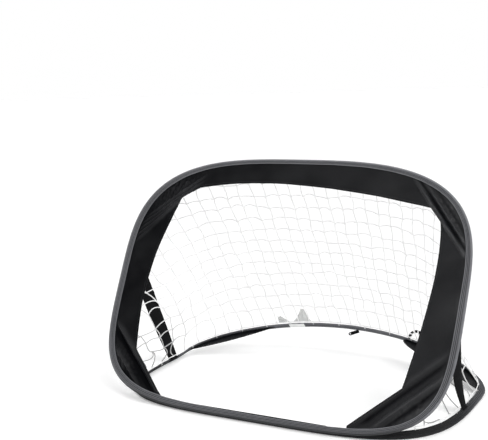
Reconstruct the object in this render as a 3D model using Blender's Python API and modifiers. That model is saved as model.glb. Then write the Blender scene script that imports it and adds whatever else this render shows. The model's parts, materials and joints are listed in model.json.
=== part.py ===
"""Pop-up goal: two spring-wire rings in folded fabric sleeves, hinged along their front rails.

The front ring stands up, leaning back, and carries the fabric border of the mouth.
The base ring lies on the floor and its back rail is bowed up by the pull of the net.
Net panels and two side straps join the rings and stop the front ring from falling forward.

Metres, +X to the right seen from the front, +Y into the goal, +Z up.
The origin is on the floor, at the middle of the goal's footprint.
"""

from math import cos, pi, radians, sin, sqrt

import bpy
import numpy as np
from mathutils import Vector

# Front ring, measured along its wire in its own leaning plane.
FRONT_HALF_WIDTH = 0.6085
FRONT_LENGTH = 0.847
FRONT_WIDEST_AT = 0.4375
FRONT_FAR_EXPONENT = 3.17
FRONT_NEAR_EXPONENT = 4.3
LEAN_BACK = radians(27.6)

# Base ring, measured along its wire on the floor.
BASE_HALF_WIDTH = 0.5855
BASE_LENGTH = 0.727
BASE_WIDEST_AT = 0.49
BASE_FAR_EXPONENT = 2.0
BASE_NEAR_EXPONENT = 4.04
BACK_RAIL_LIFT = 0.104
LIFT_STARTS_AT = 0.44

# Where the two front rails lie.
HINGE_Y = -0.3672
HINGE_Z = 0.0125
BASE_WIRE_BEHIND_HINGE = 0.0065
BASE_WIRE_Z = 0.0052

# Spring wire, its crimped ferrule and the sleeve folded round it.
WIRE_RADIUS = 0.002
FERRULE_RADIUS = 0.0031
FERRULE_WALL = 0.0008
FERRULE_LENGTH = 0.04
TAPE_THICKNESS = 0.0012
SLEEVE_BORE = 0.0034
SLEEVE_MOUTH = 0.001
SLEEVE_REACH = 0.0215
RING_STEPS = 80
BASE_SLEEVE_TILT = radians(40)
TILT_STARTS_AT = 0.004
TILT_FULL_AT = 0.05
OVER_SLEEVE_GAP = 0.0009

# Fabric border of the mouth, in the front ring's plane: across, up from the hinge.
PANEL_THICKNESS = 0.0012
PANEL_INSET = 0.012
SEAM_GAP = 0.0012
RIGHT_FOOT = (0.314, 0.0285)
RIGHT_LOW_CORNER = (0.463, 0.159)
RIGHT_WAIST = (0.504, 0.47)
RIGHT_HIGH_CORNER = (0.496, 0.664)
TOP_RIGHT_CORNER = (0.46, 0.705)
TOP_MIDDLE = (0.0, 0.764)
TOP_LEFT_CORNER = (-0.366, 0.743)
LEFT_HIGH_CORNER = (-0.427, 0.703)
LEFT_WAIST = (-0.494, 0.44)
LEFT_LOW_CORNER = (-0.478, 0.168)
LEFT_FOOT = (-0.346, 0.0295)
CORNER_CUTS = {
    "top_right": ((0.578, 0.582), (0.42, 0.783)),
    "top_left": ((-0.352, 0.77), (-0.566, 0.587)),
    "bottom_left": ((-0.577, 0.241), (-0.349, 0.017)),
    "bottom_right": ((0.317, 0.016), (0.58, 0.215)),
}

# Net, its two edge cords, and where it starts beside the bottom corners.
NET_THICKNESS = 0.0012
CORD_RADIUS = 0.0015
NET_INSET = 0.027
NET_BEHIND_BORDER = 0.008
HEAD_CORD_BEHIND_BORDER = 0.0045
FRONT_NET_START = (0.47, 0.045)
BASE_NET_START = (0.47, 0.075)
HEM_ABOVE_SLEEVE = 0.008
HEM_INSIDE_SLEEVE = 0.002
NET_ABOVE_HEM = 0.003
NET_SAG_INWARD = 0.06
NET_SAG_DOWN = 0.06
NET_FULL_SAG_SPAN = 0.4
NET_MIDDLE_HEIGHT = 0.3
NET_PANELS = {"net_right": (0.0, 0.3262), "net_back": (0.328, 0.672), "net_left": (0.6738, 1.0)}

# Side straps.
STRAP_WIDTH = 0.05
STRAP_THICKNESS = 0.0016
STRAP_HEIGHT_ON_RING = 0.51
STRAP_FOOT_DEPTH = {"right": 0.326, "left": 0.405}
STRAP_SLACK_INWARD = {"right": 0.012, "left": 0.0}
STRAP_PATCH_REACH = 0.02
STRAP_PATCH_INSET = 0.001
STRAP_PATCH_BEHIND_RING = 0.0062
STRAP_BEHIND_RING = 0.0082
STRAP_TOP_INSET = 0.0105
STRAP_END_INSET = 0.0095
STRAP_END_ABOVE_WIRE = 0.0158
STRAP_FOOT_TOP = 0.013
STRAP_FOOT_BOTTOM = 0.0075

# Corner gussets, from the back rail round to the side rail. The right one is cut fuller at its back end.
GUSSET_BACK_X = {"right": 0.222, "left": 0.26}
GUSSET_SIDE_DEPTH = {"right": 0.5, "left": 0.515}
GUSSET_FULLNESS = {"right": 0.05, "left": 0.0}
GUSSET_THICKNESS = 0.0012
GUSSET_INSET = 0.009
GUSSET_BELOW_WIRE = 0.001

# Peg loop, care label and storage band on the back rail.
PEG_LOOP_X = 0.052
PEG_LOOP_LENGTH = 0.042
PEG_LOOP_WIDTH = 0.013
PEG_LOOP_THICKNESS = 0.0016
PEG_LOOP_SKEW = radians(38)
PEG_LOOP_DROOP = radians(10)
PEG_LOOP_TWIST = radians(60)
PEG_LOOP_ROOT_INSET = 0.0105
PEG_LOOP_ROOT_DROP = 0.0045
PEG_LOOP_ROOT_OVERLAP = 0.002
EYELET_BORE = 0.0023
EYELET_BARREL = 0.0029
EYELET_FLANGE = 0.0048
EYELET_WALL = 0.0005
EYELET_GAP = 0.0003
LABEL_X = -0.204
LABEL_WIDTH = 0.062
LABEL_THICKNESS = 0.0008
LABEL_REACH = 0.0205
LABEL_FLAP_INSET = 0.008
LABEL_FLAP_ABOVE_WIRE = 0.0165
TALL_FLAP_OFFSET = 0.024
TALL_FLAP_OUTLINE = ((-0.034, 0.0), (0.034, 0.0), (0.012, 0.052), (-0.004, 0.05))
SHORT_FLAP_OFFSET = -0.036
SHORT_FLAP_OUTLINE = ((-0.02, 0.006), (0.022, 0.0), (-0.006, 0.026), (-0.018, 0.028))
STORAGE_BAND_X = 0.285
STORAGE_BAND_SPAN = 0.056
STORAGE_BAND_HEIGHT = 0.036
STORAGE_BAND_WIDTH = 0.01
STORAGE_BAND_THICKNESS = 0.0015
STORAGE_BAND_OUTSET = 0.002
STORAGE_BAND_ABOVE_WIRE = 0.0085

# Tape that hinges the two front rails, as a strip bent in the corner between them.
SEAM_TAPE_HALF_LENGTH = 0.25
SEAM_TAPE_LINE = ((0.0119, 0.0152), (0.0068, 0.002), (0.012, -0.0012), (0.0253, -0.0032))


class Outline:
    """A closed line in a plane, counterclockwise from the middle of its near side, walked by distance."""

    def __init__(self, points):
        self.points = np.vstack([points, points[:1]])
        steps = np.linalg.norm(np.diff(self.points, axis=0), axis=1)
        self.distances = np.concatenate([[0.0], np.cumsum(steps)])
        self.length = self.distances[-1]

    def at(self, distance):
        wrapped = distance % self.length
        return np.array([np.interp(wrapped, self.distances, self.points[:, k]) for k in (0, 1)])

    def inward(self, distance):
        ahead = self.at(distance + 0.002) - self.at(distance - 0.002)
        return np.array([-ahead[1], ahead[0]]) / np.linalg.norm(ahead)

    def nearest(self, point):
        tries = np.linspace(0, self.length, 4000, endpoint=False)
        spots = np.stack([np.interp(tries, self.distances, self.points[:, k]) for k in (0, 1)], axis=1)
        return tries[np.linalg.norm(spots - np.array(point), axis=1).argmin()]

    def arc(self, start, end, count):
        return [self.at(d) for d in np.linspace(start, end, count)]

    def inset(self, depth):
        count = 400
        spots = np.linspace(0, self.length, count, endpoint=False)
        return Outline(np.array([self.at(d) + depth * self.inward(d) for d in spots]))


def ring_outline(half_width, length, widest_at, far_exponent, near_exponent):
    """A rounded ring: two half superellipses that meet where the ring is widest."""
    angles = np.linspace(-pi / 2, 3 * pi / 2, 2400, endpoint=False)
    across, up = np.cos(angles), np.sin(angles)
    exponent = np.where(up >= 0, far_exponent, near_exponent)
    reach = np.where(up >= 0, length - widest_at, widest_at)
    x = half_width * np.sign(across) * np.abs(across) ** (2 / exponent)
    y = widest_at + reach * np.sign(up) * np.abs(up) ** (2 / exponent)
    return Outline(np.stack([x, y], axis=1))


FRONT = ring_outline(
    FRONT_HALF_WIDTH, FRONT_LENGTH, FRONT_WIDEST_AT, FRONT_FAR_EXPONENT, FRONT_NEAR_EXPONENT
)
BASE = ring_outline(BASE_HALF_WIDTH, BASE_LENGTH, BASE_WIDEST_AT, BASE_FAR_EXPONENT, BASE_NEAR_EXPONENT)


def smooth_step(value, start, end):
    share = min(1.0, max(0.0, (value - start) / (end - start)))
    return share * share * (3 - 2 * share)


def front_point(across, up, forward=0.0):
    """World point of a place in the front ring's leaning plane; forward is out of the mouth."""
    return Vector(
        (
            across,
            HINGE_Y + up * sin(LEAN_BACK) - forward * cos(LEAN_BACK),
            HINGE_Z + up * cos(LEAN_BACK) + forward * sin(LEAN_BACK),
        )
    )


def base_sleeve_tilt(depth):
    """How far the base sleeve's inner edge is turned up at this depth behind the front rail."""
    return BASE_SLEEVE_TILT * smooth_step(depth, TILT_STARTS_AT, TILT_FULL_AT)


def base_point(distance, inward=0.0, up=0.0):
    """World point beside the base wire, at a distance along the wire from the middle of the front rail."""
    x, depth = BASE.at(distance)
    side = BASE.inward(distance)
    rise = max(0.0, (depth - LIFT_STARTS_AT) / (BASE_LENGTH - LIFT_STARTS_AT))
    return Vector(
        (
            x + inward * side[0],
            HINGE_Y + BASE_WIRE_BEHIND_HINGE + depth + inward * side[1],
            BASE_WIRE_Z + BACK_RAIL_LIFT * rise * rise + up,
        )
    )


def base_tip_point(distance, inward=0.0, up=0.0):
    """World point beside the base sleeve's inner edge."""
    tilt = base_sleeve_tilt(BASE.at(distance)[1])
    reach = SLEEVE_REACH * cos(tilt)
    height = SLEEVE_REACH * sin(tilt)
    return base_point(distance, reach + inward, height + up)


def back_rail_distance(x):
    """Distance along the base wire of the point of the back rail at this x."""
    far = [BASE.length * share for share in np.linspace(0.3, 0.7, 2000)]
    return min(far, key=lambda d: abs(BASE.at(d)[0] - x))


def side_rail_distance(side, depth):
    """Distance along the base wire of the point of the right (+1) or left (-1) rail at this depth."""
    return BASE.nearest((side * BASE_HALF_WIDTH, depth))


def clear_scene():
    for old in list(bpy.data.objects):
        bpy.data.objects.remove(old)


def make_collection(name):
    collection = bpy.data.collections.new(name)
    bpy.context.scene.collection.children.link(collection)
    return collection


def make_material(name, color, roughness, metallic=0.0, alpha=1.0):
    material = bpy.data.materials.new(name)
    material.use_nodes = True
    shader = material.node_tree.nodes["Principled BSDF"]
    shader.inputs["Base Color"].default_value = (*color, 1.0)
    shader.inputs["Roughness"].default_value = roughness
    shader.inputs["Metallic"].default_value = metallic
    shader.inputs["Alpha"].default_value = alpha
    return material


def spring_steel():
    return make_material("spring_steel", (0.5, 0.5, 0.52), 0.35, metallic=1.0)


def crimped_steel():
    return make_material("crimped_steel", (0.62, 0.62, 0.6), 0.3, metallic=1.0)


def grey_binding():
    return make_material("grey_binding", (0.12, 0.12, 0.13), 0.8)


def dark_binding():
    return make_material("dark_binding", (0.06, 0.063, 0.07), 0.8)


def black_polyester():
    return make_material("black_polyester", (0.022, 0.023, 0.026), 0.75)


def black_webbing():
    return make_material("black_webbing", (0.012, 0.012, 0.013), 0.85)


def white_cord():
    return make_material("white_cord", (0.8, 0.8, 0.8), 0.7)


def clear_label():
    return make_material("clear_label", (0.82, 0.83, 0.82), 0.45, alpha=0.6)


def black_metal():
    return make_material("black_metal", (0.03, 0.03, 0.032), 0.35, metallic=1.0)


def add_object(name, data, collection, material, parent=None):
    made = bpy.data.objects.new(name, data)
    collection.objects.link(made)
    made.data.materials.append(material)
    made.parent = parent
    return made


def shade_round(made, sharp_angle=radians(50)):
    made.data.shade_smooth()
    made.data.set_sharp_from_angle(angle=sharp_angle)


def runs_counterclockwise(points):
    following = points[1:] + points[:1]
    return sum(a[0] * b[1] - b[0] * a[1] for a, b in zip(points, following)) > 0


def section_curve(name, points, guides):
    """A closed section for a sweep. Its x points out of the ring, and its y up from the ring's plane."""
    if runs_counterclockwise(points):
        points = list(reversed(points))
    curve = bpy.data.curves.new(name, "CURVE")
    curve.dimensions = "2D"
    spline = curve.splines.new("POLY")
    spline.points.add(len(points) - 1)
    spline.use_cyclic_u = True
    for spot, (x, y) in zip(spline.points, points):
        spot.co = (x, y, 0.0, 1.0)
    made = bpy.data.objects.new(name, curve)
    guides.objects.link(made)
    made.hide_render = True
    made.display_type = "WIRE"
    return made


def sweep(name, path, section, collection, material, parent=None, tilts=None, closed=True):
    """A solid that carries a section along a path of points, with the section's y kept upward."""
    curve = bpy.data.curves.new(name, "CURVE")
    curve.dimensions = "3D"
    curve.twist_mode = "Z_UP"
    curve.bevel_mode = "OBJECT"
    curve.bevel_object = section
    curve.use_fill_caps = not closed
    spline = curve.splines.new("POLY")
    spline.points.add(len(path) - 1)
    spline.use_cyclic_u = closed
    spline.use_smooth = True
    for index, spot in enumerate(path):
        spline.points[index].co = (*spot, 1.0)
        spline.points[index].tilt = tilts[index] if tilts else 0.0
    return add_object(name, curve, collection, material, parent)


def round_section(radius, steps):
    turns = [2 * pi * step / steps for step in range(steps)]
    return [(radius * cos(turn), radius * sin(turn)) for turn in turns]


def folded_section(bore, mouth, thickness, reach):
    """Tape folded round the wire: a C that opens inward."""
    bend_steps = 6
    turns = [radians(90 - 180 * step / bend_steps) for step in range(bend_steps + 1)]
    outer = [((bore + thickness) * cos(turn), (bore + thickness) * sin(turn)) for turn in turns]
    inner = [(bore * cos(turn), bore * sin(turn)) for turn in reversed(turns)]
    upper_outer_tip = [(-reach, mouth + thickness)]
    upper_inner_tip = [(-reach, mouth)]
    lower_tips = [(-reach, -mouth - thickness), (-reach, -mouth)]
    return upper_outer_tip + outer + lower_tips + inner + upper_inner_tip


def hooked_section(above, below, gap, thickness):
    """Webbing folded over the sleeve's inner edge, from one distance above it to another below it."""
    tip = SLEEVE_REACH + gap
    edge = SLEEVE_MOUTH + TAPE_THICKNESS + gap
    taper = (SLEEVE_BORE - SLEEVE_MOUTH) / SLEEVE_REACH
    upper_end = edge + taper * (tip - above)
    lower_end = edge + taper * (tip - below)
    inner = [(-above, upper_end), (-tip, edge), (-tip, -edge), (-below, -lower_end)]
    outer = [
        (-below, -lower_end - thickness),
        (-tip - thickness, -edge - thickness),
        (-tip - thickness, edge + thickness),
        (-above, upper_end + thickness),
    ]
    return inner + outer


def flat_plate(name, splines, thickness, collection, material, parent=None):
    """A flat plate from closed outlines in its own XY plane; a second outline inside the first is a hole."""
    curve = bpy.data.curves.new(name, "CURVE")
    curve.dimensions = "2D"
    curve.fill_mode = "BOTH"
    curve.extrude = thickness / 2
    for points in splines:
        spline = curve.splines.new("POLY")
        spline.points.add(len(points) - 1)
        spline.use_cyclic_u = True
        for spot, (x, y) in zip(spline.points, points):
            spot.co = (x, y, 0.0, 1.0)
    return add_object(name, curve, collection, material, parent)


def sheet(name, rows, thickness, collection, material, parent=None):
    """Cloth lofted through rows of points, then given its thickness."""
    columns = len(rows[0])
    corners = [tuple(spot) for row in rows for spot in row]
    faces = [
        (r * columns + c, r * columns + c + 1, (r + 1) * columns + c + 1, (r + 1) * columns + c)
        for r in range(len(rows) - 1)
        for c in range(columns - 1)
    ]
    mesh = bpy.data.meshes.new(name)
    mesh.from_pydata(corners, [], faces)
    made = add_object(name, mesh, collection, material, parent)
    solid = made.modifiers.new("thickness", "SOLIDIFY")
    solid.thickness = thickness
    solid.offset = 0.0
    mesh.shade_smooth()
    return made


def add_front_pivot(collection):
    """An empty on the hinge axis. Its X is the axis, its Y runs up the ring, its Z points out of the mouth."""
    pivot = bpy.data.objects.new("front_ring_pivot", None)
    pivot.location = (0.0, HINGE_Y, HINGE_Z)
    pivot.rotation_euler = (pi / 2 - LEAN_BACK, 0.0, 0.0)
    collection.objects.link(pivot)
    return pivot


def ferrule(name, location, rotation, collection, material, parent=None):
    bpy.ops.mesh.primitive_cylinder_add(
        vertices=20, radius=FERRULE_RADIUS, depth=FERRULE_LENGTH, end_fill_type="NOTHING"
    )
    made = bpy.context.object
    for holder in list(made.users_collection):
        holder.objects.unlink(made)
    collection.objects.link(made)
    made.name = name
    made.parent = parent
    made.location = location
    made.rotation_euler = rotation
    made.data.materials.append(material)
    wall = made.modifiers.new("wall", "SOLIDIFY")
    wall.thickness = FERRULE_WALL
    wall.offset = -1.0
    shade_round(made)
    return made


def front_ring(parts, guides, pivot):
    distances = np.linspace(0, FRONT.length, RING_STEPS, endpoint=False)
    path = [(*FRONT.at(d), 0.0) for d in distances]
    wire = section_curve("front_wire_section", round_section(WIRE_RADIUS, 8), guides)
    tape = folded_section(SLEEVE_BORE, SLEEVE_MOUTH, TAPE_THICKNESS, SLEEVE_REACH)
    fold = section_curve("front_sleeve_section", tape, guides)
    sweep("front_ring_wire", path, wire, parts, spring_steel(), pivot)
    sweep("front_ring_sleeve", path, fold, parts, grey_binding(), pivot)
    ferrule("front_ring_ferrule", (0, 0, 0), (0, pi / 2, 0), parts, crimped_steel(), pivot)


def base_ring(parts, guides):
    distances = np.linspace(0, BASE.length, RING_STEPS, endpoint=False)
    path = [base_point(d) for d in distances]
    tilts = [base_sleeve_tilt(BASE.at(d)[1]) for d in distances]
    wire = section_curve("base_wire_section", round_section(WIRE_RADIUS, 8), guides)
    tape = folded_section(SLEEVE_BORE, SLEEVE_MOUTH, TAPE_THICKNESS, SLEEVE_REACH)
    fold = section_curve("base_sleeve_section", tape, guides)
    sweep("base_ring_wire", path, wire, parts, spring_steel(), tilts=tilts)
    sweep("base_ring_sleeve", path, fold, parts, dark_binding(), tilts=tilts)
    ferrule("base_ring_ferrule", base_point(0), (0, pi / 2, 0), parts, crimped_steel())


def bowed(start, middle, end, count=7):
    """Points of the parabola through three points, without its last one."""
    start, middle, end = (np.array(p) for p in (start, middle, end))
    pull = 2 * middle - (start + end) / 2
    shares = np.linspace(0, 1, count)[:-1]
    return [(1 - t) ** 2 * start + 2 * t * (1 - t) * pull + t * t * end for t in shares]


def toward(start, end, distance):
    """The point a short way from start on the line to end."""
    start, end = np.array(start), np.array(end)
    return start + (end - start) * distance / np.linalg.norm(end - start)


def midpoint(a, b):
    return (np.array(a) + np.array(b)) / 2


def border(parts, pivot):
    """Seven panels: a top band, two side bands, and four corners gathered onto the ring."""
    edge = FRONT.inset(PANEL_INSET)
    cuts = {name: [edge.nearest(p) for p in ends] for name, ends in CORNER_CUTS.items()}
    gap = SEAM_GAP / 2
    for name, (start, end) in cuts.items():
        corner = edge.arc(start + 2 * gap, end - 2 * gap, 14)
        flat_plate(f"border_corner_{name}", [corner], PANEL_THICKNESS, parts, black_polyester(), pivot)

    def cut_middle(name):
        return midpoint(edge.at(cuts[name][0]), edge.at(cuts[name][1]))

    right_seam = midpoint(RIGHT_HIGH_CORNER, TOP_RIGHT_CORNER)
    left_seam = midpoint(LEFT_HIGH_CORNER, TOP_LEFT_CORNER)
    top = edge.arc(cuts["top_right"][1] + gap, cuts["top_left"][0] - gap, 16)
    top += [toward(cut_middle("top_left"), edge.at(cuts["top_left"][0]), gap)]
    top += [toward(left_seam, TOP_LEFT_CORNER, gap)]
    top += bowed(TOP_LEFT_CORNER, TOP_MIDDLE, TOP_RIGHT_CORNER) + [TOP_RIGHT_CORNER]
    top += [toward(right_seam, TOP_RIGHT_CORNER, gap)]
    top += [toward(cut_middle("top_right"), edge.at(cuts["top_right"][1]), gap)]
    right = edge.arc(cuts["bottom_right"][1] + gap, cuts["top_right"][0] - gap, 14)
    right += [toward(cut_middle("top_right"), edge.at(cuts["top_right"][0]), gap)]
    right += [toward(right_seam, RIGHT_HIGH_CORNER, gap)]
    right += bowed(RIGHT_HIGH_CORNER, RIGHT_WAIST, RIGHT_LOW_CORNER) + [RIGHT_LOW_CORNER, RIGHT_FOOT]
    right += [edge.at(cuts["bottom_right"][0] - gap)]
    left = edge.arc(cuts["top_left"][1] + gap, cuts["bottom_left"][0] - gap, 14)
    left += [edge.at(cuts["bottom_left"][1] + gap), LEFT_FOOT]
    left += bowed(LEFT_LOW_CORNER, LEFT_WAIST, LEFT_HIGH_CORNER) + [LEFT_HIGH_CORNER]
    left += [toward(left_seam, LEFT_HIGH_CORNER, gap)]
    left += [toward(cut_middle("top_left"), edge.at(cuts["top_left"][1]), gap)]
    for name, outline in (("border_top", top), ("border_right", right), ("border_left", left)):
        flat_plate(name, [outline], PANEL_THICKNESS, parts, black_polyester(), pivot)


def net_edges():
    """For a share of the way round the net: its point on the front ring and its point on the base ring."""
    head = FRONT.inset(NET_INSET)
    head_start = head.nearest(FRONT_NET_START)
    base_start = BASE.nearest(BASE_NET_START)

    def head_at(share, behind):
        spot = head.at(head_start + share * (head.length - 2 * head_start))
        return front_point(spot[0], spot[1], -behind)

    def hem_at(share, above):
        distance = base_start + share * (BASE.length - 2 * base_start)
        return base_tip_point(distance, inward=HEM_INSIDE_SLEEVE, up=HEM_ABOVE_SLEEVE + above)

    return head_at, hem_at


def net_point(head_at, hem_at, share, drop):
    """A point of the hanging net, from the front ring (drop 0) down to the base ring (drop 1)."""
    top = head_at(share, NET_BEHIND_BORDER)
    bottom = hem_at(share, NET_ABOVE_HEM)
    spot = top.lerp(bottom, drop)
    sag = drop * (1 - drop) * min(1.0, (top - bottom).length / NET_FULL_SAG_SPAN)
    middle = Vector((0.0, HINGE_Y + BASE_LENGTH / 2, NET_MIDDLE_HEIGHT))
    inward = (middle - spot).normalized()
    return spot + inward * sag * NET_SAG_INWARD - Vector((0, 0, sag * NET_SAG_DOWN))


def net(parts):
    head_at, hem_at = net_edges()
    for name, (start, end) in NET_PANELS.items():
        rows = [
            [net_point(head_at, hem_at, share, drop) for share in np.linspace(start, end, 13)]
            for drop in np.linspace(0, 1, 8)
        ]
        sheet(name, rows, NET_THICKNESS, parts, white_cord())


def net_cords(parts, guides, pivot):
    section = section_curve("cord_section", round_section(CORD_RADIUS, 6), guides)
    shares = np.linspace(0, 1, 61)
    head = FRONT.inset(NET_INSET)
    start = head.nearest(FRONT_NET_START)
    lacing = [(*head.at(start + s * (head.length - 2 * start)), -HEAD_CORD_BEHIND_BORDER) for s in shares]
    sweep("net_head_cord", lacing, section, parts, white_cord(), pivot, closed=False)
    hem_at = net_edges()[1]
    hem = [hem_at(share, 0.0) for share in shares]
    sweep("net_hem_cord", hem, section, parts, white_cord(), closed=False)


def straps(parts, guides, pivot):
    """On each side: a patch on the ring's sleeve, a foot over the base sleeve's edge and the strap between."""
    hook = hooked_section(STRAP_FOOT_TOP, STRAP_FOOT_BOTTOM, OVER_SLEEVE_GAP, TAPE_THICKNESS)
    fold = section_curve("strap_foot_section", hook, guides)
    for name, side in (("right", 1), ("left", -1)):
        foot = side_rail_distance(side, STRAP_FOOT_DEPTH[name])
        steps = np.linspace(-STRAP_WIDTH / 2, STRAP_WIDTH / 2, 4)
        path = [base_point(foot + step) for step in steps]
        tilts = [base_sleeve_tilt(STRAP_FOOT_DEPTH[name])] * len(path)
        sweep(f"strap_{name}_foot", path, fold, parts, black_webbing(), tilts=tilts, closed=False)

        low, high = (STRAP_HEIGHT_ON_RING + step for step in (-STRAP_WIDTH / 2, STRAP_WIDTH / 2))
        outer_edge = FRONT_HALF_WIDTH - STRAP_PATCH_INSET
        inner_edge = FRONT_HALF_WIDTH - STRAP_PATCH_REACH
        corners = [(outer_edge, low), (outer_edge, high), (inner_edge, high), (inner_edge, low)]
        patch = [(side * across, up) for across, up in corners]
        made = flat_plate(
            f"strap_{name}_ring_patch", [patch], TAPE_THICKNESS, parts, black_webbing(), pivot
        )
        made.location.z = -STRAP_PATCH_BEHIND_RING
        slack = Vector((-side * STRAP_SLACK_INWARD[name], 0.0, 0.0))
        strap_band(f"strap_{name}", side, foot, slack, parts)


def strap_band(name, side, foot, slack, parts):
    """The free webbing, bowed by its slack, from the ring patch down to the strap's foot."""
    ring_across = side * (FRONT_HALF_WIDTH - STRAP_TOP_INSET)
    top = [
        front_point(ring_across, STRAP_HEIGHT_ON_RING + step, -STRAP_BEHIND_RING)
        for step in (STRAP_WIDTH / 2, -STRAP_WIDTH / 2)
    ]
    direction = side * STRAP_WIDTH / 2
    bottom = [
        base_point(foot + step, inward=STRAP_END_INSET, up=STRAP_END_ABOVE_WIRE)
        for step in (direction, -direction)
    ]
    rows = [
        [a.lerp(b, share) + slack * sin(pi * share) for a, b in zip(top, bottom)]
        for share in np.linspace(0, 1, 9)
    ]
    sheet(name, rows, STRAP_THICKNESS, parts, black_webbing())


def gussets(parts):
    """Cloth triangles that hold the base ring's back corners, sewn under the sleeve."""
    shares = np.linspace(0, 1, 9)
    for name, side in (("right", 1), ("left", -1)):
        back = back_rail_distance(side * GUSSET_BACK_X[name])
        flank = side_rail_distance(side, GUSSET_SIDE_DEPTH[name])
        rail = [
            base_point(back + (flank - back) * share, inward=GUSSET_INSET, up=-GUSSET_BELOW_WIRE)
            for share in shares
        ]
        across = (rail[-1] - rail[0]).normalized()
        into_ring = across.cross(Vector((0.0, 0.0, side)))
        edge = []
        for share in shares:
            bulge = GUSSET_FULLNESS[name] * 2 * sqrt(share) * (1 - share) ** 3
            edge.append(rail[0].lerp(rail[-1], share) + into_ring * bulge)
        rows = [[a.lerp(b, drop) for a, b in zip(rail[1:-1], edge[1:-1])] for drop in (0.0, 0.5, 1.0)]
        sheet(f"gusset_{name}", rows, GUSSET_THICKNESS, parts, black_polyester())


def seam_tape(parts, guides):
    """The fabric hinge between the two front rails."""
    half = TAPE_THICKNESS / 2
    line = [np.array(p) for p in SEAM_TAPE_LINE]
    sides = []
    for index, spot in enumerate(line):
        before, after = line[max(index - 1, 0)], line[min(index + 1, len(line) - 1)]
        ahead = (after - before) / np.linalg.norm(after - before)
        sides.append((spot, np.array([-ahead[1], ahead[0]]) * half))
    band = [s + n for s, n in sides] + [s - n for s, n in reversed(sides)]
    section = section_curve("seam_tape_section", [(-y, z) for y, z in band], guides)
    path = [(x, HINGE_Y, HINGE_Z) for x in (-SEAM_TAPE_HALF_LENGTH, SEAM_TAPE_HALF_LENGTH)]
    sweep("front_seam_tape", path, section, parts, black_webbing(), closed=False)


def rail_pivot(name, distance, inward, up, collection):
    """An empty beside the back rail. Its X runs along the rail."""
    ahead = base_point(distance + 0.01) - base_point(distance - 0.01)
    pivot = bpy.data.objects.new(name, None)
    pivot.location = base_point(distance, inward, up)
    pivot.rotation_mode = "QUATERNION"
    pivot.rotation_quaternion = (-ahead).to_track_quat("X", "Z")
    collection.objects.link(pivot)
    return pivot


def peg_loop(parts):
    """A short webbing tab with an eyelet, hanging from the back rail on its own pivot."""
    root = back_rail_distance(PEG_LOOP_X)
    pivot = rail_pivot("peg_loop_pivot", root, PEG_LOOP_ROOT_INSET, -PEG_LOOP_ROOT_DROP, parts)
    half = PEG_LOOP_WIDTH / 2
    nose = [
        (half * cos(turn), -PEG_LOOP_LENGTH + half + half * sin(turn))
        for turn in np.linspace(0, -pi, 9)
    ]
    hole_centre = -PEG_LOOP_LENGTH + half
    hole = [(x, hole_centre + y) for x, y in round_section(EYELET_BARREL + EYELET_GAP, 20)]
    outline = [(-half, -PEG_LOOP_ROOT_OVERLAP), (half, -PEG_LOOP_ROOT_OVERLAP)] + nose
    tab = flat_plate("peg_loop", [outline, hole], PEG_LOOP_THICKNESS, parts, black_webbing(), pivot)
    tab.rotation_mode = "YXZ"
    tab.rotation_euler = (PEG_LOOP_DROOP, PEG_LOOP_TWIST, -PEG_LOOP_SKEW)

    cheek = PEG_LOOP_THICKNESS / 2 + EYELET_GAP
    rim = cheek + EYELET_WALL
    profile = [
        (EYELET_BORE, rim),
        (EYELET_FLANGE, rim),
        (EYELET_FLANGE, cheek),
        (EYELET_BARREL, cheek),
        (EYELET_BARREL, -cheek),
        (EYELET_FLANGE, -cheek),
        (EYELET_FLANGE, -rim),
        (EYELET_BORE, -rim),
    ]
    mesh = bpy.data.meshes.new("peg_loop_eyelet")
    ring = [(index, (index + 1) % len(profile)) for index in range(len(profile))]
    mesh.from_pydata([(x, 0.0, z) for x, z in profile], ring, [])
    eyelet = add_object("peg_loop_eyelet", mesh, parts, black_metal(), tab)
    eyelet.location = (0.0, hole_centre, 0.0)
    turn = eyelet.modifiers.new("turn", "SCREW")
    turn.steps = 24
    turn.render_steps = 24
    turn.use_merge_vertices = True
    turn.merge_threshold = 0.00001


def care_label(parts, guides):
    """A clear tape tied round the back rail, whose two ends stand up as flaps on pivots of their own."""
    wrap = folded_section(
        SLEEVE_BORE + TAPE_THICKNESS + OVER_SLEEVE_GAP,
        SLEEVE_MOUTH + TAPE_THICKNESS + OVER_SLEEVE_GAP,
        LABEL_THICKNESS,
        LABEL_REACH,
    )
    section = section_curve("care_label_section", wrap, guides)
    middle = back_rail_distance(LABEL_X)
    path = [base_point(middle + step) for step in np.linspace(-LABEL_WIDTH / 2, LABEL_WIDTH / 2, 4)]
    tilts = [base_sleeve_tilt(BASE_LENGTH)] * len(path)
    sweep("care_label_wrap", path, section, parts, clear_label(), tilts=tilts, closed=False)

    flaps = {
        "care_label_tall_flap": (TALL_FLAP_OFFSET, TALL_FLAP_OUTLINE),
        "care_label_short_flap": (SHORT_FLAP_OFFSET, SHORT_FLAP_OUTLINE),
    }
    for name, (offset, outline) in flaps.items():
        distance = back_rail_distance(LABEL_X + offset)
        pivot = rail_pivot(f"{name}_pivot", distance, LABEL_FLAP_INSET, LABEL_FLAP_ABOVE_WIRE, parts)
        flap = flat_plate(name, [outline], LABEL_THICKNESS, parts, clear_label(), pivot)
        flap.rotation_euler = (pi / 2, 0.0, 0.0)


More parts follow.
